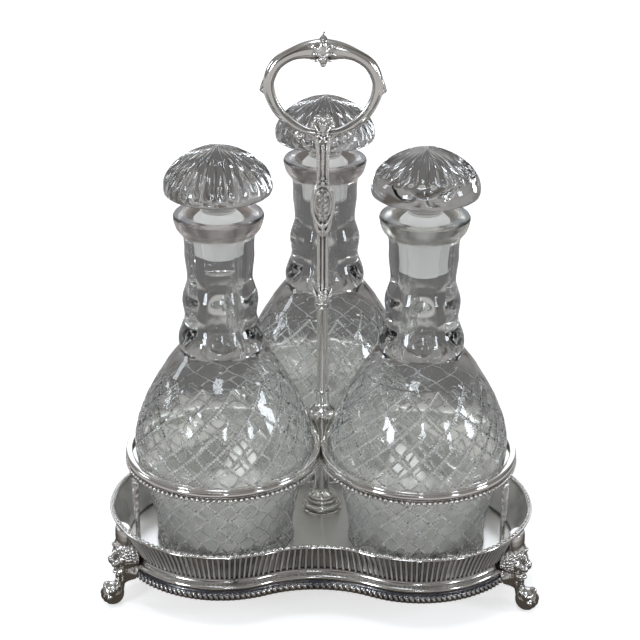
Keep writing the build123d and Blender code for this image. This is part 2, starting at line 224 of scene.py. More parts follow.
def plug(value, socket):
    """Feeds a socket from another socket or with a plain value."""
    if isinstance(value, bpy.types.NodeSocket):
        link(value, socket)
    else:
        socket.default_value = value


def maths(tree, operation, *values):
    """A Math node's result."""
    node = add_node(tree, "ShaderNodeMath", operation=operation)
    for value, socket in zip(values, node.inputs):
        plug(value, socket)
    return node.outputs[0]


def blend(tree, share, first, second):
    """A colour between two colours, by a share."""
    node = add_node(tree, "ShaderNodeMix", data_type="RGBA")
    for value, title in ((share, "Factor"), (first, "A"), (second, "B")):
        plug(value, node.inputs[title])
    return node.outputs["Result"]


def smooth_step(tree, value, start=0.0, end=1.0, low=0.0, high=1.0):
    """Low before the start, high after the end, and a smooth rise between them."""
    node = add_node(tree, "ShaderNodeMapRange", interpolation_type="SMOOTHSTEP")
    for setting, title in (
        (value, "Value"),
        (start, "From Min"),
        (end, "From Max"),
        (low, "To Min"),
        (high, "To Max"),
    ):
        plug(setting, node.inputs[title])
    return node.outputs["Result"]


def noise(tree, spot, scale, detail=2.0):
    """A Noise texture's value at a spot."""
    node = add_node(tree, "ShaderNodeTexNoise")
    preset(node, {"Scale": scale, "Detail": detail})
    link(spot, node.inputs["Vector"])
    return node.outputs["Fac"]


def spot_on_piece(tree):
    """Where a spot is on its piece, in metres."""
    return add_node(tree, "ShaderNodeTexCoord").outputs["Object"]


def show_either(tree, share, first, second, output):
    """Feeds an output node from two shaders, mixed by a share."""
    mixed = add_node(tree, "ShaderNodeMixShader")
    for source, socket in zip((share, first, second), mixed.inputs):
        link(source, socket)
    link(mixed.outputs[0], output.inputs["Surface"])


def new_tree(name, kind, inputs, outputs):
    """A node group with named inputs and outputs, and its two end nodes."""
    tree = bpy.data.node_groups.new(name, kind)
    for title, socket_type, *default in inputs:
        socket = tree.interface.new_socket(title, in_out="INPUT", socket_type=socket_type)
        if default:
            socket.default_value = default[0]
    for title, socket_type in outputs:
        tree.interface.new_socket(title, in_out="OUTPUT", socket_type=socket_type)
    return tree, tree.nodes.new("NodeGroupInput"), tree.nodes.new("NodeGroupOutput")


def set_inputs(modifier, **values):
    """Sets a Geometry Nodes modifier's inputs by their names."""
    for item in modifier.node_group.interface.items_tree:
        key = item.name.replace(" ", "_").lower()
        if item.in_out == "INPUT" and key in values:
            modifier[item.identifier] = values[key]


# ---------------------------------------------------------------- mesh helpers
class Shell:
    """Points and faces of one piece, gathered part by part, in mm."""

    def __init__(self):
        self.points = []
        self.faces = []

    def add(self, points, faces):
        """Adds points, and faces that count from the first of them."""
        start = len(self.points)
        self.points.extend(map(tuple, points))
        self.faces.extend(tuple(start + i for i in face) for face in faces)
        return self

    def grid(self, grid, wrap_rows=False, ends=True):
        """A tube of closed rings, capped or wrapped at its ends. grid is [ring, point, xyz]."""
        rings, around = grid.shape[:2]
        index = np.arange(rings * around).reshape(rings, around)
        below = index if wrap_rows else index[:-1]
        above = np.roll(index, -1, axis=0) if wrap_rows else index[1:]
        faces = np.stack([below, np.roll(below, -1, 1), np.roll(above, -1, 1), above], axis=-1)
        faces = faces.reshape(-1, 4).tolist()
        if ends and not wrap_rows:
            faces += [index[0, ::-1].tolist(), index[-1].tolist()]
        return self.add(grid.reshape(-1, 3), faces)

    def moved(self, matrix):
        """Moves every point by a matrix in mm."""
        points = np.array(self.points) @ np.array(matrix.to_3x3()).T + np.array(matrix.translation)
        self.points = [tuple(p) for p in points]
        return self

    def join(self, other):
        """Takes in another shell."""
        return self.add(other.points, other.faces)


def mesh_of(name, shell):
    """A mesh in metres, with its doubles merged and its faces outward."""
    mesh = bpy.data.meshes.new(name)
    mesh.from_pydata([tuple(c * MM for c in p) for p in shell.points], [], shell.faces)
    return cleaned(mesh)


def cleaned(mesh):
    """Merges doubles, drops faces of no size and turns the rest outward."""
    work = bmesh.new()
    work.from_mesh(mesh)
    bmesh.ops.remove_doubles(work, verts=work.verts, dist=0.002 * MM)
    bmesh.ops.dissolve_degenerate(work, edges=work.edges, dist=0.0005 * MM)
    bmesh.ops.recalc_face_normals(work, faces=work.faces)
    work.to_mesh(mesh)
    work.free()
    return mesh


def place(name, mesh, material, body, replaced=(), crease=32):
    """Finishes a piece: its edges, its material, its body and what it stands for."""
    mesh.shade_smooth()
    mesh.set_sharp_from_angle(angle=radians(crease))
    if material is not None:
        mesh.materials.clear()
        mesh.materials.append(material)
    piece = bpy.data.objects.new(name, mesh)
    bpy.context.scene.collection.objects.link(piece)
    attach(piece, body)
    if replaced:
        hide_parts(*replaced)
    return piece


def evaluated(host):
    """What a host object's modifiers make, as a mesh of its own. The host is removed."""
    graph = bpy.context.evaluated_depsgraph_get()
    mesh = bpy.data.meshes.new_from_object(host.evaluated_get(graph))
    bpy.data.objects.remove(host)
    return mesh


def hidden_object(name, mesh):
    """An object for a mesh that is still to be worked on."""
    piece = bpy.data.objects.new(name, mesh)
    bpy.context.scene.collection.objects.link(piece)
    return piece


def round_points(radius, count, turn=0.0):
    """Points round a circle, as an array of x and y."""
    angles = turn + np.arange(count) * tau / count
    return np.stack([radius * np.cos(angles), radius * np.sin(angles)], axis=-1)


def curve_through(points, steps=8):
    """A smooth line through a few points, as a Catmull-Rom curve."""
    known = np.array(points, float)
    ends = np.vstack([2 * known[0] - known[1], known, 2 * known[-1] - known[-2]])
    t = np.linspace(0, 1, steps, endpoint=False)[:, None]
    line = []
    for a, b, c, d in zip(ends, ends[1:], ends[2:], ends[3:]):
        line.append(0.5 * (
            2 * b + (c - a) * t + (
                2 * a - 5 * b + 4 * c - d
            ) * t**2 + (3 * b - a - 3 * c + d) * t**3
        ))
    return np.vstack([*line, known[-1:]])


def line_lengths(line):
    """How far along a line each of its points is."""
    return np.concatenate([[0], np.cumsum(np.linalg.norm(np.diff(line, axis=0), axis=1))])


def arc_points(centre, radii, start, end, count=8):
    """Points on an ellipse's arc, with its angles in degrees."""
    angles = np.radians(np.linspace(start, end, count))
    return np.stack(
        [centre[0] + radii[0] * np.cos(angles), centre[1] + radii[1] * np.sin(angles)], axis=-1
    )


def turned(outline, axis, sides=96, shape=None):
    """Turns an outline of radius and height about an upright axis. shape may change the radii."""
    outline = np.array(outline, float)
    angles = np.arange(sides) * tau / sides
    radii = np.repeat(outline[:, :1], sides, axis=1)
    if shape is not None:
        radii = shape(radii, outline[:, 1:2], angles[None, :])
    heights = np.repeat(outline[:, 1:2], sides, axis=1)
    grid = np.stack(
        [axis[0] + radii * np.cos(angles), axis[1] + radii * np.sin(angles), heights], axis=-1
    )
    return Shell().grid(grid, wrap_rows=False)


def ball(centre, radii, rings=6, sides=10):
    """A small round body with few faces."""
    outline = np.linspace(-pi / 2, pi / 2, rings + 1)
    angles = np.arange(sides) * tau / sides
    grid = np.stack(
        [
            centre[0] + radii[0] * np.outer(np.cos(outline), np.cos(angles)),
            centre[1] + radii[1] * np.outer(np.cos(outline), np.sin(angles)),
            centre[2] + radii[2] * np.outer(np.sin(outline), np.ones(sides)),
        ],
        axis=-1,
    )
    return Shell().grid(grid)


# ---------------------------------------------------------------- the trefoil outline
def trefoil_arcs():
    """The tray's six arcs: centre, radius, start, turn, and 1 for a lobe or -1 for a bay."""
    bay = bpy.context.scene.tantalus_tray.bay_radius / MM
    half_pitch = STATION_RADIUS * sin(radians(60))
    bay_distance = STATION_RADIUS / 2 + sqrt((LOBE_RADIUS + bay) ** 2 - half_pitch**2)
    lobe_turn = atan2(bay_distance * sin(radians(60)), bay_distance / 2 - STATION_RADIUS)
    bay_turn = lobe_turn - radians(60)
    arcs = []
    for name in STATIONS:
        angle = STATION_ANGLE[name]
        arcs.append((STATION[name], LOBE_RADIUS, angle - lobe_turn, 2 * lobe_turn, 1))
        middle = angle + radians(60)
        centre = COLUMN + bay_distance * np.array([cos(middle), sin(middle)])
        arcs.append((centre, bay, middle + pi + bay_turn, -2 * bay_turn, -1))
    return arcs


def trefoil(count):
    """Evenly spaced points on the tray's outline, and the outward normal at each."""
    arcs = trefoil_arcs()
    lengths = np.array([radius * abs(turn) for _, radius, _, turn, _ in arcs])
    ends = np.concatenate([[0], np.cumsum(lengths)])
    points, normals = [], []
    for distance in np.arange(count) * ends[-1] / count:
        which = min(int(np.searchsorted(ends, distance, side="right")) - 1, len(arcs) - 1)
        centre, radius, start, turn, side = arcs[which]
        angle = start + turn * (distance - ends[which]) / lengths[which]
        direction = np.array([cos(angle), sin(angle)])
        points.append(centre + radius * direction)
        normals.append(side * direction)
    return np.array(points), np.array(normals)


def trefoil_sweep(section, count=540):
    """A closed section of offset and height, swept round the tray."""
    points, normals = trefoil(count)
    section = np.array(section, float)
    ground = points[:, None, :] + normals[:, None, :] * section[None, :, :1]
    heights = np.broadcast_to(section[None, :, 1:], (count, len(section), 1))
    return Shell().grid(np.concatenate([ground, heights], axis=-1), wrap_rows=True)


def path_mesh(name, points, height):
    """A closed line of edges at one level, for the Geometry Nodes to follow."""
    mesh = bpy.data.meshes.new(name)
    count = len(points)
    mesh.from_pydata(
        [(x * MM, y * MM, height * MM) for x, y in points],
        [(i, (i + 1) % count) for i in range(count)], []
    )
    return mesh


def trefoil_path(name, offset, height, count=1080):
    """A line round the tray at one offset and level, for copies to be set along."""
    points, normals = trefoil(count)
    return path_mesh(name, points + offset * normals, height)


# ---------------------------------------------------------------- Geometry Nodes
def end_tree(tree, geometry, ins, outs):
    """Makes a tree's copies real and gives them their material."""
    real = add_node(tree, "GeometryNodeRealizeInstances")
    painted = add_node(tree, "GeometryNodeSetMaterial")
    link(geometry, real.inputs["Geometry"])
    link(real.outputs["Geometry"], painted.inputs["Geometry"])
    link(ins.outputs["Material"], painted.inputs["Material"])
    link(painted.outputs["Geometry"], outs.inputs["Geometry"])
    return tree


def repeat_tree():
    """Sets copies of a shape along a closed path, with X along the path and -Y outward."""
    name = "set_along_path"
    if name in bpy.data.node_groups:
        return bpy.data.node_groups[name]
    tree, ins, outs = new_tree(
        name,
        "GeometryNodeTree",
        [
            ("Path", "NodeSocketGeometry"),
            ("Shape", "NodeSocketObject"),
            ("Count", "NodeSocketInt", 10),
            ("Material", "NodeSocketMaterial"),
        ],
        [("Geometry", "NodeSocketGeometry")],
    )
    curve = add_node(tree, "GeometryNodeMeshToCurve")
    even = add_node(tree, "GeometryNodeResampleCurve")
    tangent = add_node(tree, "GeometryNodeInputTangent")
    aligned = add_node(tree, "FunctionNodeAlignRotationToVector", axis="X", pivot_axis="Z")
    shape = add_node(tree, "GeometryNodeObjectInfo")
    copies = add_node(tree, "GeometryNodeInstanceOnPoints")
    link(ins.outputs["Path"], curve.inputs["Mesh"])
    link(curve.outputs["Curve"], even.inputs["Curve"])
    link(ins.outputs["Count"], even.inputs["Count"])
    link(tangent.outputs["Tangent"], aligned.inputs["Vector"])
    link(ins.outputs["Shape"], shape.inputs["Object"])
    link(even.outputs["Curve"], copies.inputs["Points"])
    link(shape.outputs["Geometry"], copies.inputs["Instance"])
    link(aligned.outputs["Rotation"], copies.inputs["Rotation"])
    return end_tree(tree, copies.outputs["Instances"], ins, outs)


def set_along(path, shape, pitch, material):
    """Copies of a shape along a closed path, about a pitch apart, as one mesh."""
    host = hidden_object("path", path)
    sample = hidden_object("shape", mesh_of("shape", shape))
    points = np.array([v.co for v in path.vertices])
    length = np.linalg.norm(points - np.roll(points, -1, axis=0), axis=1).sum()
    modifier = host.modifiers.new("along", "NODES")
    modifier.node_group = repeat_tree()
    set_inputs(modifier, shape=sample, count=round(length / pitch), material=material)
    mesh = evaluated(host)
    bpy.data.objects.remove(sample)
    return mesh


def joined(name, meshes, materials=()):
    """Several meshes as one. With a list of materials, each mesh has its own."""
    work = bmesh.new()
    for which, mesh in enumerate(meshes):
        start = len(work.faces)
        work.from_mesh(mesh)
        if materials:
            work.faces.ensure_lookup_table()
            for face in work.faces[start:]:
                face.material_index = which
    whole = bpy.data.meshes.new(name)
    work.to_mesh(whole)
    work.free()
    for material in materials:
        whole.materials.append(material)
    return whole


def rib_along(line, half_width, depth):
    """A thin rib on a line of offset and height, with -Y outward."""
    line = np.array(line, float)
    slope = np.gradient(line, axis=0)
    slope /= np.linalg.norm(slope, axis=1, keepdims=True)
    angles = np.arange(8) * tau / 8
    out = depth * np.cos(angles)
    offset = line[:, :1] + slope[:, 1:] * out
    height = line[:, 1:] - slope[:, :1] * out
    across = np.broadcast_to(half_width * np.sin(angles), offset.shape)
    return Shell().grid(np.stack([across, -offset, height], axis=-1))


# ---------------------------------------------------------------- metal finishes
WEAR_DEPTH = 0.05 * MM


def wire_wear(tree, wear, shader, depth, strength=1.0):
    """Feeds a shader's colour, roughness and bump from a group of marks, which for the silver holds
    painted shade as well as wear.
    """
    bump = add_node(tree, "ShaderNodeBump")
    preset(bump, {"Strength": strength, "Distance": depth})
    link(wear.outputs["Colour"], shader.inputs["Base Color"])
    link(wear.outputs["Roughness"], shader.inputs["Roughness"])
    link(wear.outputs["Height"], bump.inputs["Height"])
    link(bump.outputs["Normal"], shader.inputs["Normal"])


def shade_and_wear_group():
    """The plate's colour, roughness and fine relief, from how closed in a spot is and from wear.
    Closed-in spots get painted shade, mixed with uneven tarnishing.
    """
    name = "plate_wear"
    if name in bpy.data.node_groups:
        return bpy.data.node_groups[name]
    tree, ins, outs = new_tree(
        name,
        "ShaderNodeTree",
        [
            ("Silver", "NodeSocketColor", (0.8, 0.8, 0.8, 1)),
            ("Tarnish", "NodeSocketColor", (0.2, 0.2, 0.2, 1)),
            ("Open", "NodeSocketFloat", 1.0),
            ("Hollow Depth", "NodeSocketFloat", 1.0),
            ("Smoothness", "NodeSocketFloat", 0.1),
            ("Relief", "NodeSocketFloat", 1.0),
        ],
        [
            ("Colour", "NodeSocketColor"), ("Roughness", "NodeSocketFloat"),
            ("Height", "NodeSocketFloat")
        ],
    )
    spot = spot_on_piece(tree)
    clouds = noise(tree, spot, 55, 4)
    scratches = noise(tree, spot, 1400)
    # Painted shade: the colour darkens where ambient occlusion finds a spot closed in, mixed with
    # uneven tarnishing from the noise.
    closed = maths(tree, "SUBTRACT", 1.0, ins.outputs["Open"])
    uneven = maths(tree, "MULTIPLY", maths(tree, "SUBTRACT", clouds, 0.45), 0.7)
    shade_and_tarnish_amount = maths(tree, "MULTIPLY", maths(tree, "ADD", closed, uneven), ins.outputs["Hollow Depth"])
    shade_and_tarnish_share = add_node(tree, "ShaderNodeClamp")
    link(shade_and_tarnish_amount, shade_and_tarnish_share.inputs["Value"])
    colour = blend(tree, shade_and_tarnish_share.outputs[0], ins.outputs["Silver"], ins.outputs["Tarnish"])
    haze = maths(tree, "ADD", ins.outputs["Smoothness"], maths(tree, "MULTIPLY", clouds, 0.1))
    dull = maths(tree, "MULTIPLY", shade_and_tarnish_share.outputs[0], 0.25)
    uneven_height = maths(tree, "ADD", scratches, maths(tree, "MULTIPLY", clouds, 4.0))
    link(colour, outs.inputs["Colour"])
    link(maths(tree, "ADD", haze, dull), outs.inputs["Roughness"])
    link(maths(tree, "MULTIPLY", uneven_height, ins.outputs["Relief"]), outs.inputs["Height"])
    return tree


def new_material(name):
    """A new material with its node tree and its main shader."""
    material = bpy.data.materials.new(name)
    material.use_nodes = True
    tree = material.node_tree
    return material, tree, tree.nodes["Principled BSDF"]


def silver(name, hollow=1.0, smoothness=0.05, reach=3.0, tarnish=None, metal=1.0):
    """Silver plate, dark where it is closed in: hollow is how much, reach how near, in mm. The dark
    is painted shade mixed with tarnishing.
    """
    if name in bpy.data.materials:
        return bpy.data.materials[name]
    look = bpy.context.scene.tantalus_silver
    material, tree, shader = new_material(name)
    # Ambient occlusion darkens closed-in spots: painted shade, mixed with tarnishing.
    occlusion = add_node(tree, "ShaderNodeAmbientOcclusion", samples=8)
    occlusion.inputs["Distance"].default_value = reach * MM
    wear = add_node(tree, "ShaderNodeGroup", node_tree=shade_and_wear_group())
    preset(wear, {"Silver": (*look.colour, 1), "Tarnish": (*(tarnish or look.tarnish), 1)})
    preset(wear, {"Hollow Depth": hollow, "Smoothness": smoothness, "Relief": 0.1})
    link(occlusion.outputs["AO"], wear.inputs["Open"])
    wire_wear(tree, wear, shader, WEAR_DEPTH, strength=0.25)
    shader.inputs["Metallic"].default_value = metal
    return material


def polished_silver():
    """Plain surfaces, kept bright, with a little painted shade and tarnishing in their hollows."""
    return silver("polished_silver", hollow=0.5, smoothness=0.04)


def chased_silver():
    """Cast and chased pieces, with old polish and painted shade in their hollows."""
    return silver("chased_silver", hollow=1.15, smoothness=0.1)


def satin_silver():
    """The tray floor, worn soft by bottles and cloths, with a little painted shade and tarnishing
    where it is closed in.
    """
    return silver("satin_silver", hollow=0.4, smoothness=0.16, metal=0.72)


def gallery_silver():
    """The gallery's flutes, never reached by the polishing cloth: dark with tarnishing and painted
    shade, their blue-grey a painted reflection.
    """
    # The bluish dark colour is a painted reflection, laid on with painted shade in the flutes.
    return silver(
        "gallery_silver", hollow=2.4, smoothness=0.3, reach=3.0, tarnish=(0.085, 0.088, 0.1)
    )


def worn_silver():
    """Ribs worn dull and pale by polishing."""
    return silver("worn_silver", hollow=0.1, smoothness=0.4, metal=0.72)


def bead_silver():
    """Beads, rubbed bright, with painted shade only in the narrow gaps between them."""
    return silver("bead_silver", hollow=0.45, smoothness=0.08, reach=0.9)


def border_silver():
    """The border, dark with painted shade and tarnishing where it turns in under the gallery."""
    return silver("border_silver", hollow=1.9, smoothness=0.06, reach=6.0)


def edge_silver():
    """The lobes of the lower edge, with old polish and painted shade between them, their blue-grey
    a painted reflection.
    """
    # The bluish dark colour is a painted reflection, laid on with painted shade between the lobes.
    return silver(
        "edge_silver", hollow=2.8, smoothness=0.1, reach=4.0, tarnish=(0.07, 0.072, 0.085)
    )


# ---------------------------------------------------------------- the tray
RIB_HALF_WIDTH, RIB_HEIGHT = 0.68, 0.7
WALL_THICKNESS = 0.8
SKIRT_SET_BACK = 1.2
LOBE_TILT, LOBE_TWIST = radians(-28), radians(-12)


def make_tray():
    """Makes the tray from its gallery down to its lower edge."""
    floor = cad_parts["tray_floor"].data
    floor.materials.clear()
    floor.materials.append(satin_silver())
    make_gallery()
    make_rim()
    make_border()
    make_gadroons()


def make_gallery():
    """The flared wall with its ribs."""
    wall_low, wall_high = levels_of("gallery_wall")
    step_top = levels_of("base_border")[1]
    floor_out = offset_of("tray_floor")
    middle = (0.53 * floor_out - 0.35, (step_top + wall_high) / 2)
    lean = curve_through([(floor_out, step_top), middle, (-0.5, wall_high)], 4)
    outside = np.vstack([[(floor_out, wall_low)], lean]) - [0.35, 0]
    inside = outside[::-1] - [WALL_THICKNESS, 0]
    wall = trefoil_sweep(np.vstack([outside, inside]))
    rib = clipped(rib_along(lean - [0.05, 0], RIB_HALF_WIDTH, RIB_HEIGHT), wall_low, wall_high)
    pitch = bpy.context.scene.tantalus_tray.rib_pitch
    ribs = set_along(trefoil_path("gallery_line", 0, 0), rib, pitch, polished_silver())
    gallery = joined("gallery", [mesh_of("wall", wall), ribs], [gallery_silver(), worn_silver()])
    place("gallery", gallery, None, "stand", ["gallery_wall"])


def make_rim():
    """The rail on the wall, with its beads."""
    low = levels_of("gallery_rim")[0]
    wire = arc_points((-0.1, low + 0.62), (0.68, 0.6), -90, 150, 9)
    inner = arc_points((-2.45, low + 0.45), (0.35, 0.4), 60, 270, 6)
    rail = trefoil_sweep(np.vstack([wire, [(-0.75, low + 0.7)], inner]))
    bead = ball((0, 1.45, 0.95), (1.62, 1.25, 1.1), rings=8, sides=14)
    pitch = bpy.context.scene.tantalus_tray.bead_pitch
    beads = set_along(trefoil_path("rim_line", 0, low + 0.1), bead, pitch, bead_silver())
    parts = [mesh_of("rail", rail), beads]
    beading = joined("gallery_beading", parts, [polished_silver(), bead_silver()])
    place("gallery_beading", beading, None, "stand", ["gallery_rim"])


def make_border():
    """The step, hollow and roll of the border, with a small clip on its left lobe."""
    low, step_top = levels_of("base_border")
    roll_low = levels_of("gadroon_edge")[1]
    roll_out, floor_out = offset_of("base_border"), offset_of("tray_floor")
    skirt_out = roll_out - SKIRT_SET_BACK
    cavetto = arc_points((roll_out - 1.35, step_top - 0.35), (2.3, 3.2), 180, 262, 9)
    roll = arc_points((roll_out - 2.15, roll_low + 2.0), (2.1, 2.15), 75, -62, 12)
    step = [(floor_out + 0.05, low), (floor_out + 0.05, step_top), (floor_out + 0.3, step_top)]
    border = trefoil_sweep(np.vstack([
        step, cavetto, roll, [(skirt_out, roll_low), (skirt_out, low)]
    ]))
    angle = STATION_ANGLE["left"] + radians(70)
    clip = ball((0, 0, 0), (2.1, 0.75, 1.5), rings=4, sides=4)
    clip.moved(Matrix.Rotation(radians(45), 4, "Z")).moved(Matrix.Diagonal((1.0, 0.5, 1.0, 1.0)))
    clip.moved(Matrix.Rotation(angle + pi / 2, 4, "Z"))
    spot = STATION["left"] + (LOBE_RADIUS + floor_out + 1.4) * np.array([cos(angle), sin(angle)])
    border.join(clip.moved(Matrix.Translation((*spot, step_top - 1.7))))
    place("border", mesh_of("border", border), border_silver(), "stand", ["base_border"])


def make_gadroons():
    """The strip under the roll, with its slanting lobes and a pearl over each."""
    low, top = levels_of("gadroon_edge")
    skirt_out = offset_of("base_border") - SKIRT_SET_BACK
    front = arc_points((skirt_out, top - 3.6), (1.7, 3.0), 80, -60, 8)
    skirt = np.vstack([[(skirt_out, low), (skirt_out, top)], front, [(skirt_out + 0.4, low)]])
    strip = mesh_of("strip", trefoil_sweep(skirt))
    edge_out = offset_of("gadroon_edge")
    lobe = ball((0, 0, 0), (1.35, 0.9, 2.7), rings=7, sides=10)
    lobe.moved(Matrix.Rotation(LOBE_TILT, 4, "Y")).moved(Matrix.Rotation(LOBE_TWIST, 4, "X"))
    lobe.moved(Matrix.Translation((0, 1.3 - edge_out, 3.3)))
    lobe.join(ball((0, 1.0 - edge_out, 5.9), (0.95, 0.85, 0.62), rings=6, sides=8))
    pitch = bpy.context.scene.tantalus_tray.gadroon_pitch
    line = trefoil_path("edge_line", 0, low)
    lobes = set_along(line, clipped(lobe, 0.0, top - low), pitch, edge_silver())
    place("gadroons", joined("gadroons", [strip, lobes]), edge_silver(), "stand", ["gadroon_edge"])


def clipped(shell, low, high):
    """Flattens what lies below or above two levels onto them."""
    shell.points = [(x, y, min(max(z, low), high)) for x, y, z in shell.points]
    return shell


# ---------------------------------------------------------------- rings and brackets
def make_rings():
    """Makes the three rings and the beads under them."""
    plain, chased = polished_silver(), chased_silver()
    pitch = bpy.context.scene.tantalus_rings.bead_pitch
    for name in STATIONS:
        low, top = levels_of(f"ring_{name}")
        bead_low, bead_high = levels_of(f"ring_beading_{name}")
        outer = RING_OUTER
        section = np.vstack(
            [
                [(outer - 4.2, low + 0.1), (outer - 1.1, low)],
                arc_points((outer - 1.6, low + 2.45), (1.6, 2.4), -60, 62, 10),
                [(outer - 1.15, low + 4.75), (outer - 1.15, low + 5.05)],
                arc_points((outer - 1.2, low + 5.8), (0.75, 0.72), -50, 100, 7),
                [(outer - 2.4, top)],
                arc_points((outer - 3.9, top - 0.9), (0.8, 0.9), 90, 180, 5),
            ]
        )
        band = circle_sweep(section, STATION[name])
        place(f"band_{name}", mesh_of(f"band_{name}", band), plain, "stand", [f"ring_{name}"])
        backing = circle_sweep(
            [
                (outer - 3.3, bead_low + 0.2), (outer - 2.1, bead_low + 0.2),
                (outer - 1.9, bead_high), (outer - 3.3, bead_high)
            ],
            STATION[name]
        )
        bead = ball((0, 0, 0), (1.3, 1.4, 1.4), rings=8, sides=12)
        line = path_mesh(
            "bead_line", STATION[name] + round_points(outer - 0.95, 360), (bead_low + bead_high) / 2
        )
        beads = set_along(line, bead, pitch, bead_silver())
        beading = joined(
            f"beads_{name}", [mesh_of("backing", backing), beads], [chased, bead_silver()]
        )
        place(f"beads_{name}", beading, None, "stand", [f"ring_beading_{name}"])


def circle_sweep(section, axis, sides=180):
    """A closed section of radius and height, turned about an upright axis."""
    section = np.array(section, float)
    angles = np.arange(sides) * tau / sides
    grid = np.stack(
        [
            axis[0] + np.outer(np.cos(angles), section[:, 0]),
            axis[1] + np.outer(np.sin(angles), section[:, 0]),
            np.broadcast_to(section[:, 1], (sides, len(section))),
        ],
        axis=-1,
    )
    return Shell().grid(grid, wrap_rows=True)


# ---------------------------------------------------------------- cast ornament
def blob(centre, radii, turn=(0.0, 0.0, 0.0), rings=8, sides=12):
    """An oval body, turned about its own centre by three angles in degrees."""
    body = ball((0, 0, 0), radii, rings, sides)
    spin = Matrix.Rotation(
        radians(turn[2]), 4, "Z"
    ) @ Matrix.Rotation(radians(turn[1]), 4, "Y") @ Matrix.Rotation(radians(turn[0]), 4, "X")
    return body.moved(Matrix.Translation(centre) @ spin)


def limb(points, radii, steps=7):
    """A rounded limb through a few points, its radius changing from one to the next."""
    line = curve_through(np.column_stack([np.array(points, float), radii]), steps)
    body = Shell()
    last = None
    for x, y, z, radius in line:
        place_now = np.array([x, y, z])
        if last is None or np.linalg.norm(place_now - last) > 0.3 * radius:
            body.join(ball(place_now, (radius,) * 3, rings=6, sides=10))
            last = place_now
    return body


def add_limbs(part, face, strands):
    """Adds limbs on the right and on the left: x, y, z and radius at each point of a strand."""
    for side in (1, -1):
        for strand in strands:
            points = [(side * x, face * y, z) for x, y, z, _ in strand]
            part.join(limb(points, [radius for *_, radius in strand]))


def add_berries(part, out, depth, berries):
    """Adds round bodies at one distance out: x, z and size of each."""
    for x, z, size in berries:
        part.join(blob((x, out, z), (size, depth, size)))


def both(make):
    """The same ornament on the left and on the right, made by a function that is given the side."""
    return make(1).join(make(-1))


def fused(name, shell, voxel=0.42, soften=2):
    """Melts overlapping bodies into one skin, as in a casting."""
    host = hidden_object(name, mesh_of(name, shell))
    skin = host.modifiers.new("skin", "REMESH")
    skin.mode = "VOXEL"
    skin.voxel_size = voxel * MM
    smooth = host.modifiers.new("smooth", "SMOOTH")
    smooth.factor = 0.5
    smooth.iterations = soften
    mesh = evaluated(host)
    mesh.name = name
    return mesh


def moved_mesh(mesh, matrix, name):
    """A copy of a mesh, placed by a matrix in mm."""
    copy = mesh.copy()
    copy.name = name
    metres = matrix.copy()
    metres.translation *= MM
    copy.transform(metres)
    return copy


def at_station(name, distance=0.0):
    """Places a piece, made pointing along X, at a distance from the column towards a station."""
    turn = Matrix.Rotation(STATION_ANGLE[name], 4, "Z")
    return Matrix.Translation((*COLUMN, 0)) @ turn @ Matrix.Translation((distance, 0, 0))


# ---------------------------------------------------------------- lion feet
def lion_head():
    """The mask: brow, nose, muzzle, cheeks and the block behind them."""
    head = blob((1.5, 0, 37.5), (7.2, 9.2, 13.4)).join(blob((-1.5, 0, 36.0), (6.5, 10.4, 11.4)))
    head.join(clipped(blob((1.7, 0, 49.0), (4.9, 8.4, 16.0), rings=14, sides=24), 34.0, 56.2))
    head.join(blob((3.4, 0, 43.2), (4.2, 5.0, 4.4)))
    head.join(limb(
        [(4.9, 0, 46.0), (6.0, 0, 41.5), (8.6, 0, 38.2), (10.9, 0, 35.5)], [1.8, 1.7, 1.7, 2.0]
    ))
    head.join(blob((12.0, 0, 34.6), (1.6, 2.5, 1.5)))
    head.join(both(lambda side: limb(
        [(8.3, 0, 23.9), (6.6, side * 2.9, 24.3), (3.0, side * 5.0, 26.6)], [2.0, 1.7, 1.3]
    )))
    head.join(blob((8.3, 0, 24.0), (2.4, 2.3, 1.8)))
    head.join(both(lambda side: limb(
        [(6.4, side * 1.3, 42.0), (7.6, side * 3.8, 42.6), (5.4, side * 6.4, 41.0)], [1.3, 1.5, 1.0]
    )))
    head.join(both(lambda side: blob((7.0, side * 3.6, 39.5), (1.4, 1.5, 1.1))))
    head.join(both(lambda side: blob((8.2, side * 2.6, 31.6), (4.3, 3.2, 3.3))))
    head.join(both(lambda side: limb(
        [(10.0, side * 0.5, 29.0), (8.4, side * 3.2, 28.3), (4.6, side * 5.6, 28.3)],
        [1.1, 1.25, 1.0]
    )))
    head.join(both(lambda side: blob((4.8, side * 6.0, 34.2), (3.6, 3.0, 4.6))))
    return head


def lion_mane():
    """Rows of small curls over and beside the face, and strands that run down to the leg."""
    mane = Shell()
    rows = (
        (8.0, 8.2, 5.4, 15, -40), (9.7, 10.0, 3.8, 19, -44), (10.7, 10.9, 1.8, 21, -44),
        (11.3, 10.6, -0.6, 21, -40), (11.5, 10.0, -3.0, 20, -34)
    )
    for row, (across, upward, out, count, low) in enumerate(rows):
        for step in range(count):
            angle = radians(low + (180 - 2 * low) * (step + 0.5 * (row % 2)) / count)
            middle = (out, across * cos(angle), 36.8 + upward * sin(angle))
            mane.join(blob(
                middle, (1.35, 1.05, 1.45), turn=(90 - np.degrees(angle) + 24, 0, 0), rings=6,
                sides=8
            ))
    for side in (1, -1):
        for step in range(6):
            top = (4.6 - 1.7 * step, side * (6.6 + 0.75 * step), 30.6 - 0.3 * step)
            tip = (4.8 - 1.1 * step, side * (3.6 + 1.35 * step), 16.2 + 0.95 * step)
            knee = (
                0.5 * (top[0] + tip[0]) + 0.6, 0.5 * (top[1] + tip[1]) + side * 0.9,
                0.5 * (top[2] + tip[2])
            )
            mane.join(limb([top, knee, tip], [1.15, 1.25, 0.55], steps=6))
    return mane


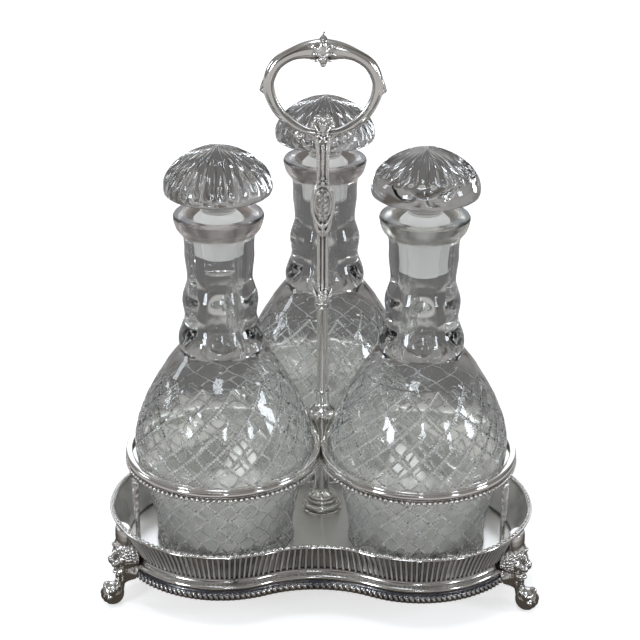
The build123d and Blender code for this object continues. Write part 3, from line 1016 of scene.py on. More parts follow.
def lion_paw():
    """The leg, its heel and the paw with four toes, flat where it stands."""
    paw = limb(
        [(3.0, 0, 27.0), (4.9, 0, 21.0), (5.6, 0, 16.0), (7.4, 0, 11.5)], [5.4, 4.1, 3.6, 4.4]
    )
    paw.join(limb([(4.4, 0, 16.6), (-1.6, 0, 18.0), (-9.0, 0, 22.6)], [3.5, 3.0, 2.8]))
    paw.join(blob((11.2, 0, 8.0), (7.6, 7.3, 7.9), rings=12, sides=20))
    for across in (-5.3, -1.8, 1.8, 5.3):
        back = 0.32 * abs(across)
        paw.join(blob((15.0 - back, across, 12.0), (2.9, 1.75, 2.8)))
        paw.join(blob((17.3 - back, across * 1.03, 7.0), (2.5, 1.75, 3.5)))
    paw.points = [(x, y, max(z, 0.0)) for x, y, z in paw.points]
    return paw


def make_feet():
    """Makes the three feet and the slotted screws that hold them."""
    chased = chased_silver()
    edge = box_mm("gadroon_edge")[1][1] - COLUMN[1]
    low, high = levels_of("foot_screws")
    distance = box_mm("foot_screws")[1][1] - 3.0 - COLUMN[1]
    hole = distance - edge
    lug = ball(
        (hole, 0, 26.1), (4.4, 7.0, 1.4), rings=6, sides=24
    ).join(blob((hole + 6.0, 0, 25.2), (7.0, 5.2, 2.3)))
    foot = lion_head().join(lion_mane()).join(lion_paw()).join(clipped(lug, 0, 27.55))
    foot = fused("lion_foot", foot, voxel=0.4, soften=2)
    for name in STATIONS:
        mesh = moved_mesh(foot, at_station(name, edge), f"lion_foot_{name}")
        place(f"lion_foot_{name}", mesh, chased, "stand", [f"foot_{name}"], crease=60)

    screw = Shell()
    for side in (1, -1):
        half = [(0.35 + 2.6 * sin(a), 2.95 * cos(a)) for a in np.linspace(0.12, pi - 0.12, 10)]
        grid = np.array([[(side * x, y, z) for x, y in half] for z in (low, low + 0.4, high - 8.2)])
        grid[0, :, :2] *= 0.9
        screw.grid(grid)
    screw.join(turned(
        [
            (0, high - 8.8), (2.9, high - 8.8), (2.9, high - 7.8), (1.5, high - 7.8), (1.5, high),
            (0, high)
        ],
        (0, 0), sides=20
    ))
    line = path_mesh("screw_line", COLUMN + round_points(distance, 3, STATION_ANGLE["back"]), 0)
    screws = set_along(line, screw, distance * sqrt(3), brass())
    place(
        "slotted_screws", cleaned(screws), brass(), "stand", ["foot_screws"]
    )


# ---------------------------------------------------------------- brackets
def make_brackets():
    """A reeded strap from the tray to each ring, with a leaf and berries over its upper half."""
    chased = chased_silver()
    floor, top = levels_of("bracket_back")
    pad_end, front = (box_mm("bracket_back")[i][1] - COLUMN[1] for i in (0, 1))
    back = front - 2.2
    strap = [(back + 0.2, -2.1), (back + 0.2, 2.1)]
    strap += [
        (back + 1.55 + 0.6 * abs(sin(1.5 * pi * (t + 1))), 2.1 * t)
        for t in np.linspace(1, -1, 19)
    ]
    heights = [floor + 1.0, floor + 4, 40, 50, 60, 70, 80, top - 0.4]
    bracket = Shell().grid(np.array([[(x, y, z) for x, y in strap] for z in heights]))
    pad = [
        (back + 0.6, -4.5), (back + 0.6, 4.5), (pad_end + 1.0, 4.5), (pad_end, 3.5),
        (pad_end, -3.5), (pad_end + 1.0, -4.5)
    ]
    pad = np.array([[(x, y, z) for x, y in pad] for z in (floor, floor + 3.0, floor + 3.6)])
    middle = (pad_end + back) / 2
    pad[2, :, :2] = (pad[2, :, :2] - [middle, 0]) * 0.93 + [middle, 0]
    bracket.grid(pad)
    bracket.join(turned(
        [(0, floor + 3), (1.9, floor + 3), (1.7, floor + 4.2), (0, floor + 4.7)], (middle, 0),
        sides=20
    ))
    leaf = limb(
        [(back + 1.0, 0, top - 2), (back + 1.8, 0, 78), (back + 1.9, 0, 68), (back + 1.1, 0, 60)],
        [1.8, 1.6, 1.3, 0.6]
    )
    for side in (1, -1):
        for height, reach in ((84, 3.6), (78.5, 3.9), (73, 3.4), (68, 2.6), (63.8, 1.7)):
            root, tip = (back + 1.0, side * 0.8, height - 3), (
                back + 1.2, side * reach, height + 1.6
            )
            leaf.join(limb(
                [root, (back + 1.7, side * reach * 0.75, height - 1.2), tip], [1.1, 1.2, 0.6],
                steps=5
            ))
    for step in range(9):
        leaf.join(blob((back + 3.2 - 0.12 * step, 0, 86.2 - 2.5 * step), (1.0, 1.05, 1.05)))
    for side in (1, -1):
        leaf.join(blob((back + 1.8, side * 2.3, 87.6), (1.3, 1.6, 1.4)))
        leaf.join(blob((back + 2.2, side * 2.2, 81.2), (1.0, 1.0, 1.1)))
    leaf = fused("leaf", leaf, voxel=0.32, soften=1)
    whole = joined("bracket", [mesh_of("strap", bracket), leaf])
    for name in STATIONS:
        place(
            f"leaf_bracket_{name}", moved_mesh(whole, at_station(name), f"leaf_bracket_{name}"),
            chased, "stand", [f"bracket_{name}"]
        )


# ---------------------------------------------------------------- column
def leafed(radii, heights, angles):
    """Raises eight narrow leaves on the lower cone of the baluster."""
    low, high, fade = 84.5, 103.5, 5
    rise = np.clip((heights - low) / fade, 0, 1) * np.clip((high - heights) / fade, 0, 1)
    return radii * (1 + 0.085 * rise * (np.abs(np.cos(4 * angles)) - 0.55))


def place_turned(name, node, outline, sides=96, shape=None):
    """Makes a turned piece of the column from its outline."""
    mesh = mesh_of(name.removesuffix("_turned"), turned(outline, COLUMN, sides, shape))
    place(name, mesh, polished_silver(), "stand", [node])


def make_column():
    """Makes the column from the pedestal up to the collar under the handle."""
    bulge = arc_points((11.1, 34.6), (2.1, 2.2), -70, 82, 10)
    first, second = arc_points(
        (10.0, 38.7), (1.2, 0.95), -75, 75, 7
    ), arc_points((8.8, 41.0), (1.1, 0.9), -75, 75, 7)
    outline = [(0, 30), (13.5, 30), (13.8, 30.4), (13.8, 31.2), (13.3, 31.7), (12.0, 31.9)]
    outline += [*bulge, (10.3, 37.2), *first, (9.0, 39.9), *second, (8.0, 42.1), (7.7, 42.5)]
    outline += [
        *curve_through([(7.2, 43.2), (5.9, 46), (5.25, 51), (4.85, 60), (4.5, 70), (4.3, 74)], 5),
        (0, 74)
    ]
    place_turned("pedestal_turned", "pedestal", outline)

    hub = turned(
        [
            (0, 74), (4.9, 74), *arc_points((4.9, 75.2), (0.9, 1.0), -80, 80, 6), (4.7, 76.6),
            (4.7, 79.4), *arc_points((4.9, 80.6), (0.9, 1.0), -80, 80, 6), (4.6, 82), (0, 82)
        ],
        (0, 0), sides=48
    )
    ring_inner = STATION_RADIUS - RING_OUTER
    for name in STATIONS:
        arm = limb(
            [
                (3.6, 0, 78.4), (7.4, 0, 80.4), (ring_inner + 0.8, 0, 84.4),
                (ring_inner + 1.9, 0, 88.0)
            ],
            [2.2, 1.8, 1.7, 1.8]
        )
        arm.join(ball((ring_inner + 2.0, 0, 88.6), (1.9, 3.2, 1.4)))
        hub.join(arm.moved(Matrix.Rotation(STATION_ANGLE[name], 4, "Z")))
    hub = moved_mesh(
        fused("hub", hub, voxel=0.3, soften=2), Matrix.Translation((*COLUMN, 0)), "ring_spider"
    )
    place("ring_spider", hub, chased_silver(), "stand", ["ring_hub"])

    outline = [(0, 82), (3.4, 82), *arc_points((3.2, 82.9), (0.9, 0.8), -70, 70, 6), (3.1, 84.2)]
    outline += [*curve_through(
        [
            (3.3, 84.8), (4.7, 89), (6.6, 94.4), (8.5, 99.6), (9.5, 103), (9.8, 105.4),
            (9.0, 107.8), (7.0, 109.8), (5.5, 111.4), (4.75, 113.4), (4.5, 116), (4.45, 119.8)
        ],
        5
    )]
    outline += [
        (4.3, 120.2), *arc_points((4.3, 121.3), (0.85, 0.8), -70, 70, 6), (4.2, 122.5), (4.15, 123),
        (0, 123)
    ]
    place_turned("baluster_turned", "baluster", outline, sides=128, shape=leafed)

    low, high = levels_of("column_sleeve")
    outline = [
        (0, low), (4.15, low), (4.2, low + 0.5), (4.0, low + 1.0), (3.9, low + 1.6),
        (3.85, high - 2.4), (4.05, high - 1.8), (4.2, high - 1.2), (4.2, high - 0.5), (3.9, high),
        (0, high)
    ]
    place_turned("sleeve_turned", "column_sleeve", outline, sides=64)
    low, high = levels_of("handle_collar")
    outline = [
        (0, low), (4.9, low), *arc_points((4.6, low + 0.75), (1.0, 0.7), -80, 80, 6),
        (4.8, low + 1.45), *arc_points((4.4, low + 1.95), (0.9, 0.45), -70, 80, 5), (0, high)
    ]
    place_turned("collar_turned", "handle_collar", outline, sides=64)


# ---------------------------------------------------------------- handle
LOOP_OUTER = (
    (0, 366.2), (9, 364.9), (18, 361.7), (29.4, 354.9), (35.3, 347.6), (38.2, 338), (37.7, 330.4),
    (34.6, 322.3), (29.7, 314.8), (20.5, 307.7), (12.8, 304.2), (5, 302.6)
)
LOOP_INNER = (
    (0, 352.2), (6.4, 352.4), (12.2, 353.0), (19.3, 351.7), (26.4, 346.9), (30.4, 339.4),
    (30.9, 334.4), (29.3, 327), (25.1, 319.6), (18, 312.4), (10.2, 307.7), (4, 306.4)
)


def resampled(points, count):
    """Points an even length apart on a smooth line through a few points."""
    line = curve_through(points, 12)
    lengths = line_lengths(line)
    wanted = np.linspace(0, lengths[-1], count)
    return np.stack([np.interp(wanted, lengths, line[:, i]) for i in range(line.shape[1])], axis=-1)


def loop_bar():
    """The bar of the loop: round in front and behind, with a bead along its inner edge."""
    count = 90
    outer, inner = resampled(LOOP_OUTER, count), resampled(LOOP_INNER, count)
    share = np.linspace(0, 1, count)
    depth = np.interp(share, [0, 0.35, 0.7, 1], [4.1, 3.8, 2.9, 2.2])
    outer, inner, depth = (
        np.concatenate([a[:0:-1] * flip, a])
        for a, flip in ((outer, [-1, 1]), (inner, [-1, 1]), (depth[:, None], [1]))
    )
    angles = np.arange(40) * tau / 40
    across, deep = np.cos(angles), np.sin(angles)
    bead = across < -0.62
    groove = 1 - 0.34 * np.exp(-(((across + 0.6) / 0.07) ** 2))
    deep = np.where(
        bead, 0.62 * np.sign(deep) * np.sqrt(np.clip(1 - ((across + 0.82) / 0.2) ** 2, 0, 1)), deep
    ) * groove
    middle, arm = (outer + inner) / 2, (outer - inner) / 2
    ground = middle[:, None, :] + arm[:, None, :] * across[None, :, None]
    y = depth * deep[None, :]
    return Shell().grid(np.stack([ground[..., 0], y, ground[..., 1]], axis=-1))


def reeded_stem(low, high):
    """Three reeds, front and back, widening under the loop."""
    levels = np.linspace(low, high, 40)
    half_width = np.interp(
        levels, [low, low + 4, 236, 276, 290, high], [3.5, 3.7, 3.6, 3.8, 4.3, 5.4]
    )
    half_depth = np.interp(levels, [low, 290, high], [2.3, 2.3, 2.9])
    side = np.linspace(-1, 1, 31)
    reed = 0.5 + 0.5 * np.abs(np.sin(1.5 * pi * (side + 1))) ** 0.55
    across = np.concatenate([side, side[::-1]])
    deep = np.concatenate([-reed, reed])
    return Shell().grid(np.stack(
        [
            np.outer(half_width, across), np.outer(half_depth, deep),
            np.repeat(levels[:, None], len(across), 1)
        ],
        axis=-1
    ))


def oval_wire(centre, radii, thickness, front, point=0.0, count=64):
    """An oval ring of round wire facing forward. point draws its lower end down."""
    angles = np.arange(count) * tau / count
    wire = np.arange(10) * tau / 10
    stretch = 1 + point * np.clip(-np.sin(angles), 0, 1) ** 6
    line = np.stack([radii[0] * np.cos(angles), radii[1] * np.sin(angles) * stretch], axis=-1)
    out = np.stack([np.cos(angles) / radii[0], np.sin(angles) / radii[1]], axis=-1)
    out /= np.linalg.norm(out, axis=1, keepdims=True)
    ground = line[:, None, :] + out[:, None, :] * (thickness * np.cos(wire))[None, :, None]
    y = np.broadcast_to(front - thickness * np.sin(wire), ground.shape[:2])
    return Shell().grid(
        np.stack([centre[0] + ground[..., 0], y, centre[1] + ground[..., 1]], axis=-1),
        wrap_rows=True
    )


def cartouche(face):
    """An oval frame round two columns of berries, on one face of the stem: -1 is the front."""
    part = oval_wire((0, 256.4), (6.9, 13.6), 1.15, face * 2.7, point=0.14)
    part.join(oval_wire((0, 256.8), (5.0, 10.4), 0.55, face * 2.9, point=0.05))
    part.join(blob((0, face * 1.0, 256.6), (6.6, 2.2, 13.2), rings=14, sides=32))
    for row in range(5):
        for side in (1, -1):
            part.join(blob((side * 1.75, face * 3.2, 263.2 - 3.35 * row), (1.65, 1.25, 1.6)))
    part.join(blob((0, face * 3.0, 266.4), (1.3, 1.1, 1.2)))
    add_berries(part, face * 2.9, 1.2, [
        (0, 274.6, 1.5), (2.4, 272.6, 1.2), (-2.4, 272.6, 1.2),
        (0, 271.4, 1.3), (3.6, 269.6, 0.9), (-3.6, 269.6, 0.9),
    ])
    add_limbs(part, face, [
        [(5.6, 2.2, 247.0, 0.8), (4.4, 2.7, 241.6, 1.1), (1.6, 2.6, 237.0, 0.7)],
        [(5.4, 2.2, 243.4, 0.6), (3.8, 2.6, 238.4, 0.9), (0.6, 2.4, 234.0, 0.5)],
    ])
    part.join(limb(
        [(0, face * 2.6, 242.4), (0, face * 2.8, 238.0), (0, face * 2.3, 233.0)], [1.5, 1.4, 0.5]
    ))
    return part


def crown(face):
    """The leaves at the top of the loop."""
    part = blob((0, face * 3.2, 360.2), (2.9, 1.9, 5.2)).join(blob(
        (0, face * 3.6, 353.0), (1.7, 1.5, 2.6)
    ))
    add_limbs(part, face, [
        [(1.6, 3.4, 357.4, 1.5), (5.4, 3.8, 361.2, 1.7), (9.6, 3.2, 361.6, 0.6)],
        [(1.4, 3.4, 355.4, 1.3), (4.6, 3.8, 357.0, 1.5), (8.0, 3.4, 355.8, 0.5)],
        [(1.0, 3.3, 353.6, 1.0), (3.0, 3.5, 353.2, 1.1), (5.2, 3.2, 351.9, 0.5)],
    ])
    part.join(blob((0, face * 2.4, 349.9), (1.9, 1.7, 1.8)))
    return part


def shell_boss(face):
    """The heart-shaped boss where the loop meets the stem, with berries under it."""
    part = Shell()
    rim = [
        (0, 312.6), (2.2, 314.6), (4.7, 314.0), (5.7, 311.2), (4.4, 307.9), (2.2, 305.4), (0, 304.0)
    ]
    for side in (1, -1):
        part.join(limb([(side * x, face * 3.0, z) for x, z in rim], [0.85] * len(rim), steps=6))
    part.join(blob((0, face * 1.5, 309.8), (4.4, 1.5, 4.0)))
    for x in (-2.4, 0, 2.4):
        part.join(limb(
            [(x * 0.2, face * 2.6, 305.6), (x * 0.8, face * 2.9, 309.4), (x, face * 2.7, 312.4)],
            [0.4, 0.75, 0.6]
        ))
    add_berries(part, face * 2.8, 1.5, [
        (0, 301.6, 1.9), (-3.2, 303.0, 1.5), (3.2, 303.0, 1.5), (-1.9, 299.4, 1.3),
        (1.9, 299.4, 1.3), (0, 297.2, 1.1), (6.9, 309.6, 1.15), (-6.9, 309.6, 1.15),
    ])
    return part


def make_handle():
    """Makes the handle: a foot, the stem, the loop and the ornament fused onto them."""
    chased = chased_silver()
    low, high = levels_of("handle")
    foot = turned(
        [
            (0, low), (4.4, low), *arc_points((4.4, low + 0.9), (1.1, 0.85), -80, 80, 6),
            (4.3, low + 2.0), (4.6, low + 4.2), (4.0, low + 7), (2.8, low + 9.5), (0, low + 9.5)
        ],
        (0, 0), sides=48
    )
    bars = foot.join(reeded_stem(low + 6.5, 304.0)).join(loop_bar())
    solid = Shell()
    for face in (-1, 1):
        solid.join(cartouche(face)).join(crown(face)).join(shell_boss(face))
        solid.join(oval_wire(
            (0, low + 5.4), (2.2, 2.2), 0.75, face * 3.9, count=32
        )).join(blob((0, face * 3.4, low + 5.4), (1.3, 1.4, 1.3)))
        add_limbs(solid, face, [
            [(2.0, 2.2, low + 1.6, 1.5), (4.8, 1.7, low + 6.2, 1.3), (6.5, 0.7, low + 12.4, 0.45)],
            [(1.2, 2.4, low + 7.6, 1.0), (2.6, 2.2, low + 10.6, 0.9), (3.2, 1.9, low + 15, 0.35)],
        ])
    solid.join(limb(
        [(0, 0, 363.4), (0.2, 0, 366.6), (0.6, 0, high - 0.75)], [3.6, 1.9, 0.55]
    )).join(blob((0, 0, 351.0), (2.6, 2.8, 2.5)))
    add_limbs(solid, 1, [
        [
            (5.6, 0, 304.8, 1.9), (10.4, 0, 305.6, 1.6), (15.0, 0, 305.4, 1.35),
            (17.3, 0, 303.0, 1.25), (15.9, 0, 300.9, 1.15), (14.0, 0, 301.7, 1.0),
            (14.4, 0, 303.2, 0.8)
        ],
        [(4.4, 0, 299.6, 1.4), (6.6, 0, 302.6, 1.5), (9.6, 0, 303.6, 1.0)],
        [(36.4, 0, 338.6, 2.2), (38.4, 0, 334.8, 1.5), (40.1, 0, 332.3, 0.55)],
        [(37.2, 0, 330.6, 1.0), (39.6, 0, 331.9, 0.6)],
    ])
    ornament = fused("ornament", solid, voxel=0.32, soften=1)
    whole = moved_mesh(
        joined("handle", [mesh_of("bars", bars), ornament]), Matrix.Translation((*COLUMN, 0)),
        "loop_handle"
    )
    place("loop_handle", whole, chased, "stand", ["handle"], crease=40)


# ---------------------------------------------------------------- glass
def glass_wear_group():
    """Shared marks on the glass: a faint tint high up, and fine scuffs."""
    name = "glass_wear"
    if name in bpy.data.node_groups:
        return bpy.data.node_groups[name]
    tree, ins, outs = new_tree(
        name,
        "ShaderNodeTree",
        [
            ("Clear", "NodeSocketColor", (1, 1, 1, 1)),
            ("Tint", "NodeSocketColor", (1, 0.9, 0.85, 1)),
            ("Tint From", "NodeSocketFloat", 0.25),
            ("Tint To", "NodeSocketFloat", 0.26),
            ("Roughness", "NodeSocketFloat", 0.02),
        ],
        [
            ("Colour", "NodeSocketColor"), ("Roughness", "NodeSocketFloat"),
            ("Height", "NodeSocketFloat")
        ],
    )
    spot = spot_on_piece(tree)
    split = add_node(tree, "ShaderNodeSeparateXYZ")
    link(spot, split.inputs["Vector"])
    band = smooth_step(tree, split.outputs["Z"], ins.outputs["Tint From"], ins.outputs["Tint To"])
    scuffs = noise(tree, spot, 90, 1)
    worn = maths(tree, "MULTIPLY", maths(tree, "POWER", scuffs, 4.0), 0.08)
    marks = maths(tree, "ADD", worn, maths(tree, "MULTIPLY", band, 0.2))
    link(blend(tree, band, ins.outputs["Clear"], ins.outputs["Tint"]), outs.inputs["Colour"])
    link(maths(tree, "ADD", ins.outputs["Roughness"], marks), outs.inputs["Roughness"])
    link(scuffs, outs.inputs["Height"])
    return tree


CLEAR = (0.995, 1.0, 0.995)
LIT_THROUGH = (0.86, 0.87, 0.86, 1)
LIP_TINT_LEVELS = (0.249, 0.254)
WAVE_DEPTH = 0.4 * MM


def glass(name, tint=CLEAR, tint_levels=LIP_TINT_LEVELS, roughness=0.0):
    """Clear glass that lets the lamps through to what stands behind it."""
    if name in bpy.data.materials:
        return bpy.data.materials[name]
    material, tree, shader = new_material(name)
    wear = add_node(tree, "ShaderNodeGroup", node_tree=glass_wear_group())
    tint_from, tint_to = tint_levels
    preset(wear, {"Clear": (*CLEAR, 1), "Tint": (*tint, 1), "Roughness": roughness})
    preset(wear, {"Tint From": tint_from, "Tint To": tint_to})
    wire_wear(tree, wear, shader, WAVE_DEPTH, strength=0.02)
    preset(shader, {"IOR": 1.52, "Transmission Weight": 1.0})
    lamps = add_node(tree, "ShaderNodeLightPath")
    through = add_node(tree, "ShaderNodeBsdfTransparent")
    preset(through, {"Color": LIT_THROUGH})
    lit, output = lamps.outputs["Is Shadow Ray"], tree.nodes["Material Output"]
    show_either(tree, lit, shader.outputs[0], through.outputs[0], output)
    return material


def groove_glass():
    """The grooves of the cutting, left a little grey by the wheel."""
    return frosted("groove_glass", (0.96, 0.96, 0.94), 0.35, 0.72)


def clouded_glass():
    """The inside of a decanter, clouded up to where the spirit used to stand."""
    return frosted("clouded_glass", (0.99, 0.965, 0.92), 0.06, 0.74)


def ground_glass():
    """The frosted peg of a stopper."""
    return frosted("ground_glass", (0.86, 0.84, 0.81), 0.5, 0.42)


def frosted(name, colour, roughness, clearness):
    """Glass with a fine grain. clearness is how much of it the light goes straight through."""
    if name in bpy.data.materials:
        return bpy.data.materials[name]
    material, tree, shader = new_material(name)
    grain = maths(tree, "MULTIPLY", noise(tree, spot_on_piece(tree), 700), 0.2)
    link(maths(tree, "ADD", grain, roughness), shader.inputs["Roughness"])
    preset(shader, {"Base Color": (*colour, 1), "Transmission Weight": clearness, "IOR": 1.5})
    return material


DECANTER_OUTER = (
    (43.6, 30), (45.2, 30.5), (46.2, 31.8), (46.5, 33), (46.5, 42), (47.4, 50), (49.4, 60),
    (52.0, 70), (54.9, 80), (57.4, 90), (58.9, 100), (59.0, 103.5), (58.6, 110), (56.5, 120),
    (52.9, 130), (48.2, 140), (45.5, 145), (42.6, 150), (39.5, 155), (35.4, 161), (30.9, 167),
    (28.0, 170.6), (27.2, 172.6), (27.7, 175), (27.8, 178), (27.4, 181), (26.4, 184.2), (25.3, 187),
    (24.2, 190), (23.4, 193.4), (23.3, 195.4), (23.7, 198), (24.6, 203), (24.7, 205), (24.3, 208),
    (23.3, 211), (22.2, 214.4), (21.2, 218), (21.0, 221), (21.3, 225), (21.9, 230), (22.4, 235),
    (22.3, 240), (22.4, 243), (22.7, 247), (23.4, 249.4), (25.0, 251.6), (26.9, 254.2),
    (28.0, 257.2), (28.7, 260), (28.8, 261.6), (28.5, 262.7), (27.7, 263.4), (26.4, 263.4),
    (23.0, 263.1),
)
DECANTER_INNER = (
    (21.3, 262.9), (20.5, 262.0), (18.0, 259.6), (14.2, 256.0), (10.9, 253.2), (10.3, 252.2),
    (10.1, 249), (9.9, 238), (9.6, 226), (9.6, 200), (9.7, 186), (10.2, 180), (11.6, 175),
    (14.4, 171.0), (19.6, 166.2), (26.4, 161), (32.4, 155), (36.7, 150), (43.3, 140), (48.3, 130),
    (51.8, 120), (53.8, 110), (54.1, 103.5), (53.6, 95), (51.7, 85), (48.8, 75), (45.4, 65),
    (42.0, 55), (38.7, 45), (37.2, 41), (35.4, 39.3), (32.0, 39), (18, 39), (8, 39), (0, 39),
)
DOME_RADIUS, DOME_LOW, DOME_TOP = 34.4, 281.5, 307.8
STOPPER_LOWER = (
    (0, 226.8), (5.0, 226.4), (8.4, 225.5), (9.2, 226.0), (9.6, 240), (9.9, 250), (10.1, 252.6),
    (12.9, 255.6), (16.0, 259.0), (15.8, 259.9), (14.2, 261.6), (12.2, 263.6), (11.0, 265),
    (11.3, 266.4), (13.0, 268.2), (16.5, 270.4), (20.5, 272.2), (25.0, 274.0), (29.5, 275.8),
    (32.6, 276.9), (33.8, 277.8), (34.3, 279.2),
)


def by_length(outline, step):
    """The outline with points about a step apart."""
    outline = np.array(outline, float)
    parts = [outline[:1]]
    for a, b in zip(outline, outline[1:]):
        count = max(1, round(np.linalg.norm(b - a) / step))
        parts.append(a + (b - a) * (np.arange(1, count + 1)[:, None] / count))
    return np.vstack(parts)


def cutting_tree():
    """Cuts two crossing families of V grooves, by marks of how far round and up a point is."""
    name = "cut_diamonds"
    if name in bpy.data.node_groups:
        return bpy.data.node_groups[name]
    tree, ins, outs = new_tree(
        name,
        "GeometryNodeTree",
        [
            ("Glass", "NodeSocketGeometry"),
            ("Depth", "NodeSocketFloat", 0.001),
            ("Half Width", "NodeSocketFloat", 0.1),
            ("Full Rows", "NodeSocketFloat", 7.0),
            ("All Rows", "NodeSocketFloat", 9.0),
            ("Material", "NodeSocketMaterial"),
        ],
        [("Geometry", "NodeSocketGeometry")],
    )
    marks = []
    for mark in ("round", "rise"):
        node = add_node(tree, "GeometryNodeInputNamedAttribute", data_type="FLOAT")
        node.inputs["Name"].default_value = mark
        marks.append(node.outputs["Attribute"])
    around, rise = marks
    wide_rows = maths(
        tree, "GREATER_THAN", rise, maths(tree, "ADD", ins.outputs["Full Rows"], 0.01)
    )
    cuts = []
    for operation in ("ADD", "SUBTRACT"):
        line = maths(tree, operation, around, rise)
        nearest = maths(tree, "ROUND", line)
        gap = maths(tree, "ABSOLUTE", maths(tree, "SUBTRACT", line, nearest))
        cut = maths(
            tree, "MAXIMUM",
            maths(tree, "SUBTRACT", 1.0, maths(tree, "DIVIDE", gap, ins.outputs["Half Width"])), 0.0
        )
        odd = maths(tree, "ABSOLUTE", maths(tree, "MODULO", nearest, 2.0))
        cuts.append(maths(
            tree, "MULTIPLY", cut,
            maths(tree, "SUBTRACT", 1.0, maths(tree, "MULTIPLY", odd, wide_rows))
        ))
    deepest = maths(tree, "MAXIMUM", *cuts)
    below_top = maths(tree, "LESS_THAN", rise, maths(tree, "ADD", ins.outputs["All Rows"], 0.01))
    above_foot = maths(tree, "GREATER_THAN", rise, -0.01)
    depth = maths(
        tree, "MULTIPLY", maths(tree, "MULTIPLY", deepest, ins.outputs["Depth"]),
        maths(tree, "MULTIPLY", below_top, above_foot)
    )
    normal = add_node(tree, "GeometryNodeInputNormal")
    inward = add_node(tree, "ShaderNodeVectorMath", operation="SCALE")
    link(normal.outputs["Normal"], inward.inputs[0])
    link(maths(tree, "MULTIPLY", depth, -1.0), inward.inputs["Scale"])
    shift = add_node(tree, "GeometryNodeSetPosition")
    marked = add_node(tree, "GeometryNodeStoreNamedAttribute", data_type="FLOAT", domain="POINT")
    marked.inputs["Name"].default_value = "cut"
    link(ins.outputs["Glass"], marked.inputs["Geometry"])
    link(depth, marked.inputs["Value"])
    link(marked.outputs["Geometry"], shift.inputs["Geometry"])
    link(inward.outputs["Vector"], shift.inputs["Offset"])
    return end_tree(tree, shift.outputs["Geometry"], ins, outs)


CUT_ROWS = 9
CUT_FULL_ROWS = 7
CELLS = 10
CUT_LOW, CUT_HIGH = 33.0, 157.0
TILT_SEED = 5
STAR_POINTS, STAR_DEPTHS = 16, (0.4, 0.9, 1.1, 1.0, 0.7, 0.3)
UNDERSIDE = (
    (0, 31.6), (8, 31.6), (16, 31.6), (24, 31.6), (32, 31.5), (38, 31.3), (41, 30.5), (42.6, 30)
)
CAVITY_FLOOR = ((26, 39), (18, 39), (9, 39), (0, 39))
LIP_TINTS = {"back": (0.95, 0.85, 0.79), "left": (0.95, 0.84, 0.78), "right": (0.95, 0.92, 0.83)}
GROUND_SLOT, GROOVE_SLOT, CLOUDED_SLOT = 1, 2, 3


def thumbprints(radii, heights, angles, prints=10, column=True):
    """Hollows round the neck: two rows of round ones, and tall ones on the upper neck."""
    across = 2 * ((angles * prints / tau) % 1) - 1
    shift = 2 * ((angles * prints / tau + 0.5) % 1) - 1
    depth = np.zeros_like(radii)
    for middle, half, deep, where in ((178.6, 6.5, 0.3, across), (204.6, 6.5, 0.2, shift)):
        depth = np.maximum(
            depth, deep * np.clip(1 - where**2 - ((heights - middle) / half) ** 2, 0, 1)
        )
    if column:
        tail = np.clip(
            (231 - heights) / 15, 0, None
        ) ** 2 + np.clip((heights - 246) / 7, 0, None) ** 2
        depth = np.maximum(depth, 0.12 * np.clip(1 - across**2 - tail, 0, 1))
    return radii - depth


GROUND_FROM = {"back": 235.0, "left": 235.5, "right": 227.0}
SEAT_TOP, SEAT_REACH = 253.4, 12.4
FUNNEL_LOW, FUNNEL_TOP, FUNNEL_REACH = 253.0, 265.2, 16.6
CLOUDED_FROM, CLOUDED_TO = 38.5, 106.0
MOUTH_GROUND_TO = 253.2


def reach_of(spot, name):
    """How far a spot is from a station's axis, and its level, in mm."""
    x, y = (spot[i] / MM - STATION[name][i] for i in (0, 1))
    return np.hypot(x, y), spot.z / MM


def in_mouth(spot, name):
    """Whether a spot is on the ground part of a mouth or of a stopper's peg."""
    reach, level = reach_of(spot, name)
    in_seat = GROUND_FROM[name] < level < SEAT_TOP and reach < SEAT_REACH
    return in_seat or (FUNNEL_LOW < level < FUNNEL_TOP and reach < FUNNEL_REACH)


def inside_wall(spot, name):
    """Whether a spot is on the wall of the cavity and not on the outside."""
    reach, level = reach_of(spot, name)
    inner, outer = np.array(DECANTER_INNER[::-1])[4:], np.array(DECANTER_OUTER)
    return 2 * reach < sum(np.interp(level, wall[:, 1], wall[:, 0]) for wall in (inner, outer))


def decanter_outline():
    """The outline in five parts: underside, foot, cut body, neck and cavity."""
    outer = by_length(curve_through(DECANTER_OUTER, 6), 0.2)
    lengths = line_lengths(outer)
    low, high = (np.interp(level, outer[:, 1], lengths) for level in (CUT_LOW, CUT_HIGH))
    spans = (
        np.linspace(0, low, 5)[:-1],
        np.linspace(low, high, CUT_ROWS * CELLS + 1),
        np.linspace(high, lengths[-1], 92)[1:],
    )
    skins = [
        np.stack([np.interp(span, lengths, side) for side in outer.T], axis=-1)
        for span in spans
    ]
    cavity = np.vstack([resampled(DECANTER_INNER[:-4], 80), CAVITY_FLOOR])
    return [np.array(UNDERSIDE), *skins, cavity]


def diamond_tilts(diamonds, rows):
    """How far each point of the cut body is off its place, as a share, with its diamond's tilt."""
    slopes = np.random.default_rng(TILT_SEED).uniform(-1, 1, (2, diamonds, diamonds))
    round_body, up = np.arange(diamonds * CELLS)[None, :], np.arange(rows)[:, None]
    across, along = round_body + up, round_body - up
    cells = (across // CELLS % diamonds, along // CELLS % diamonds)
    rise = slopes[0][cells] * (across % CELLS / CELLS - 0.5)
    return rise + slopes[1][cells] * (along % CELLS / CELLS - 0.5)


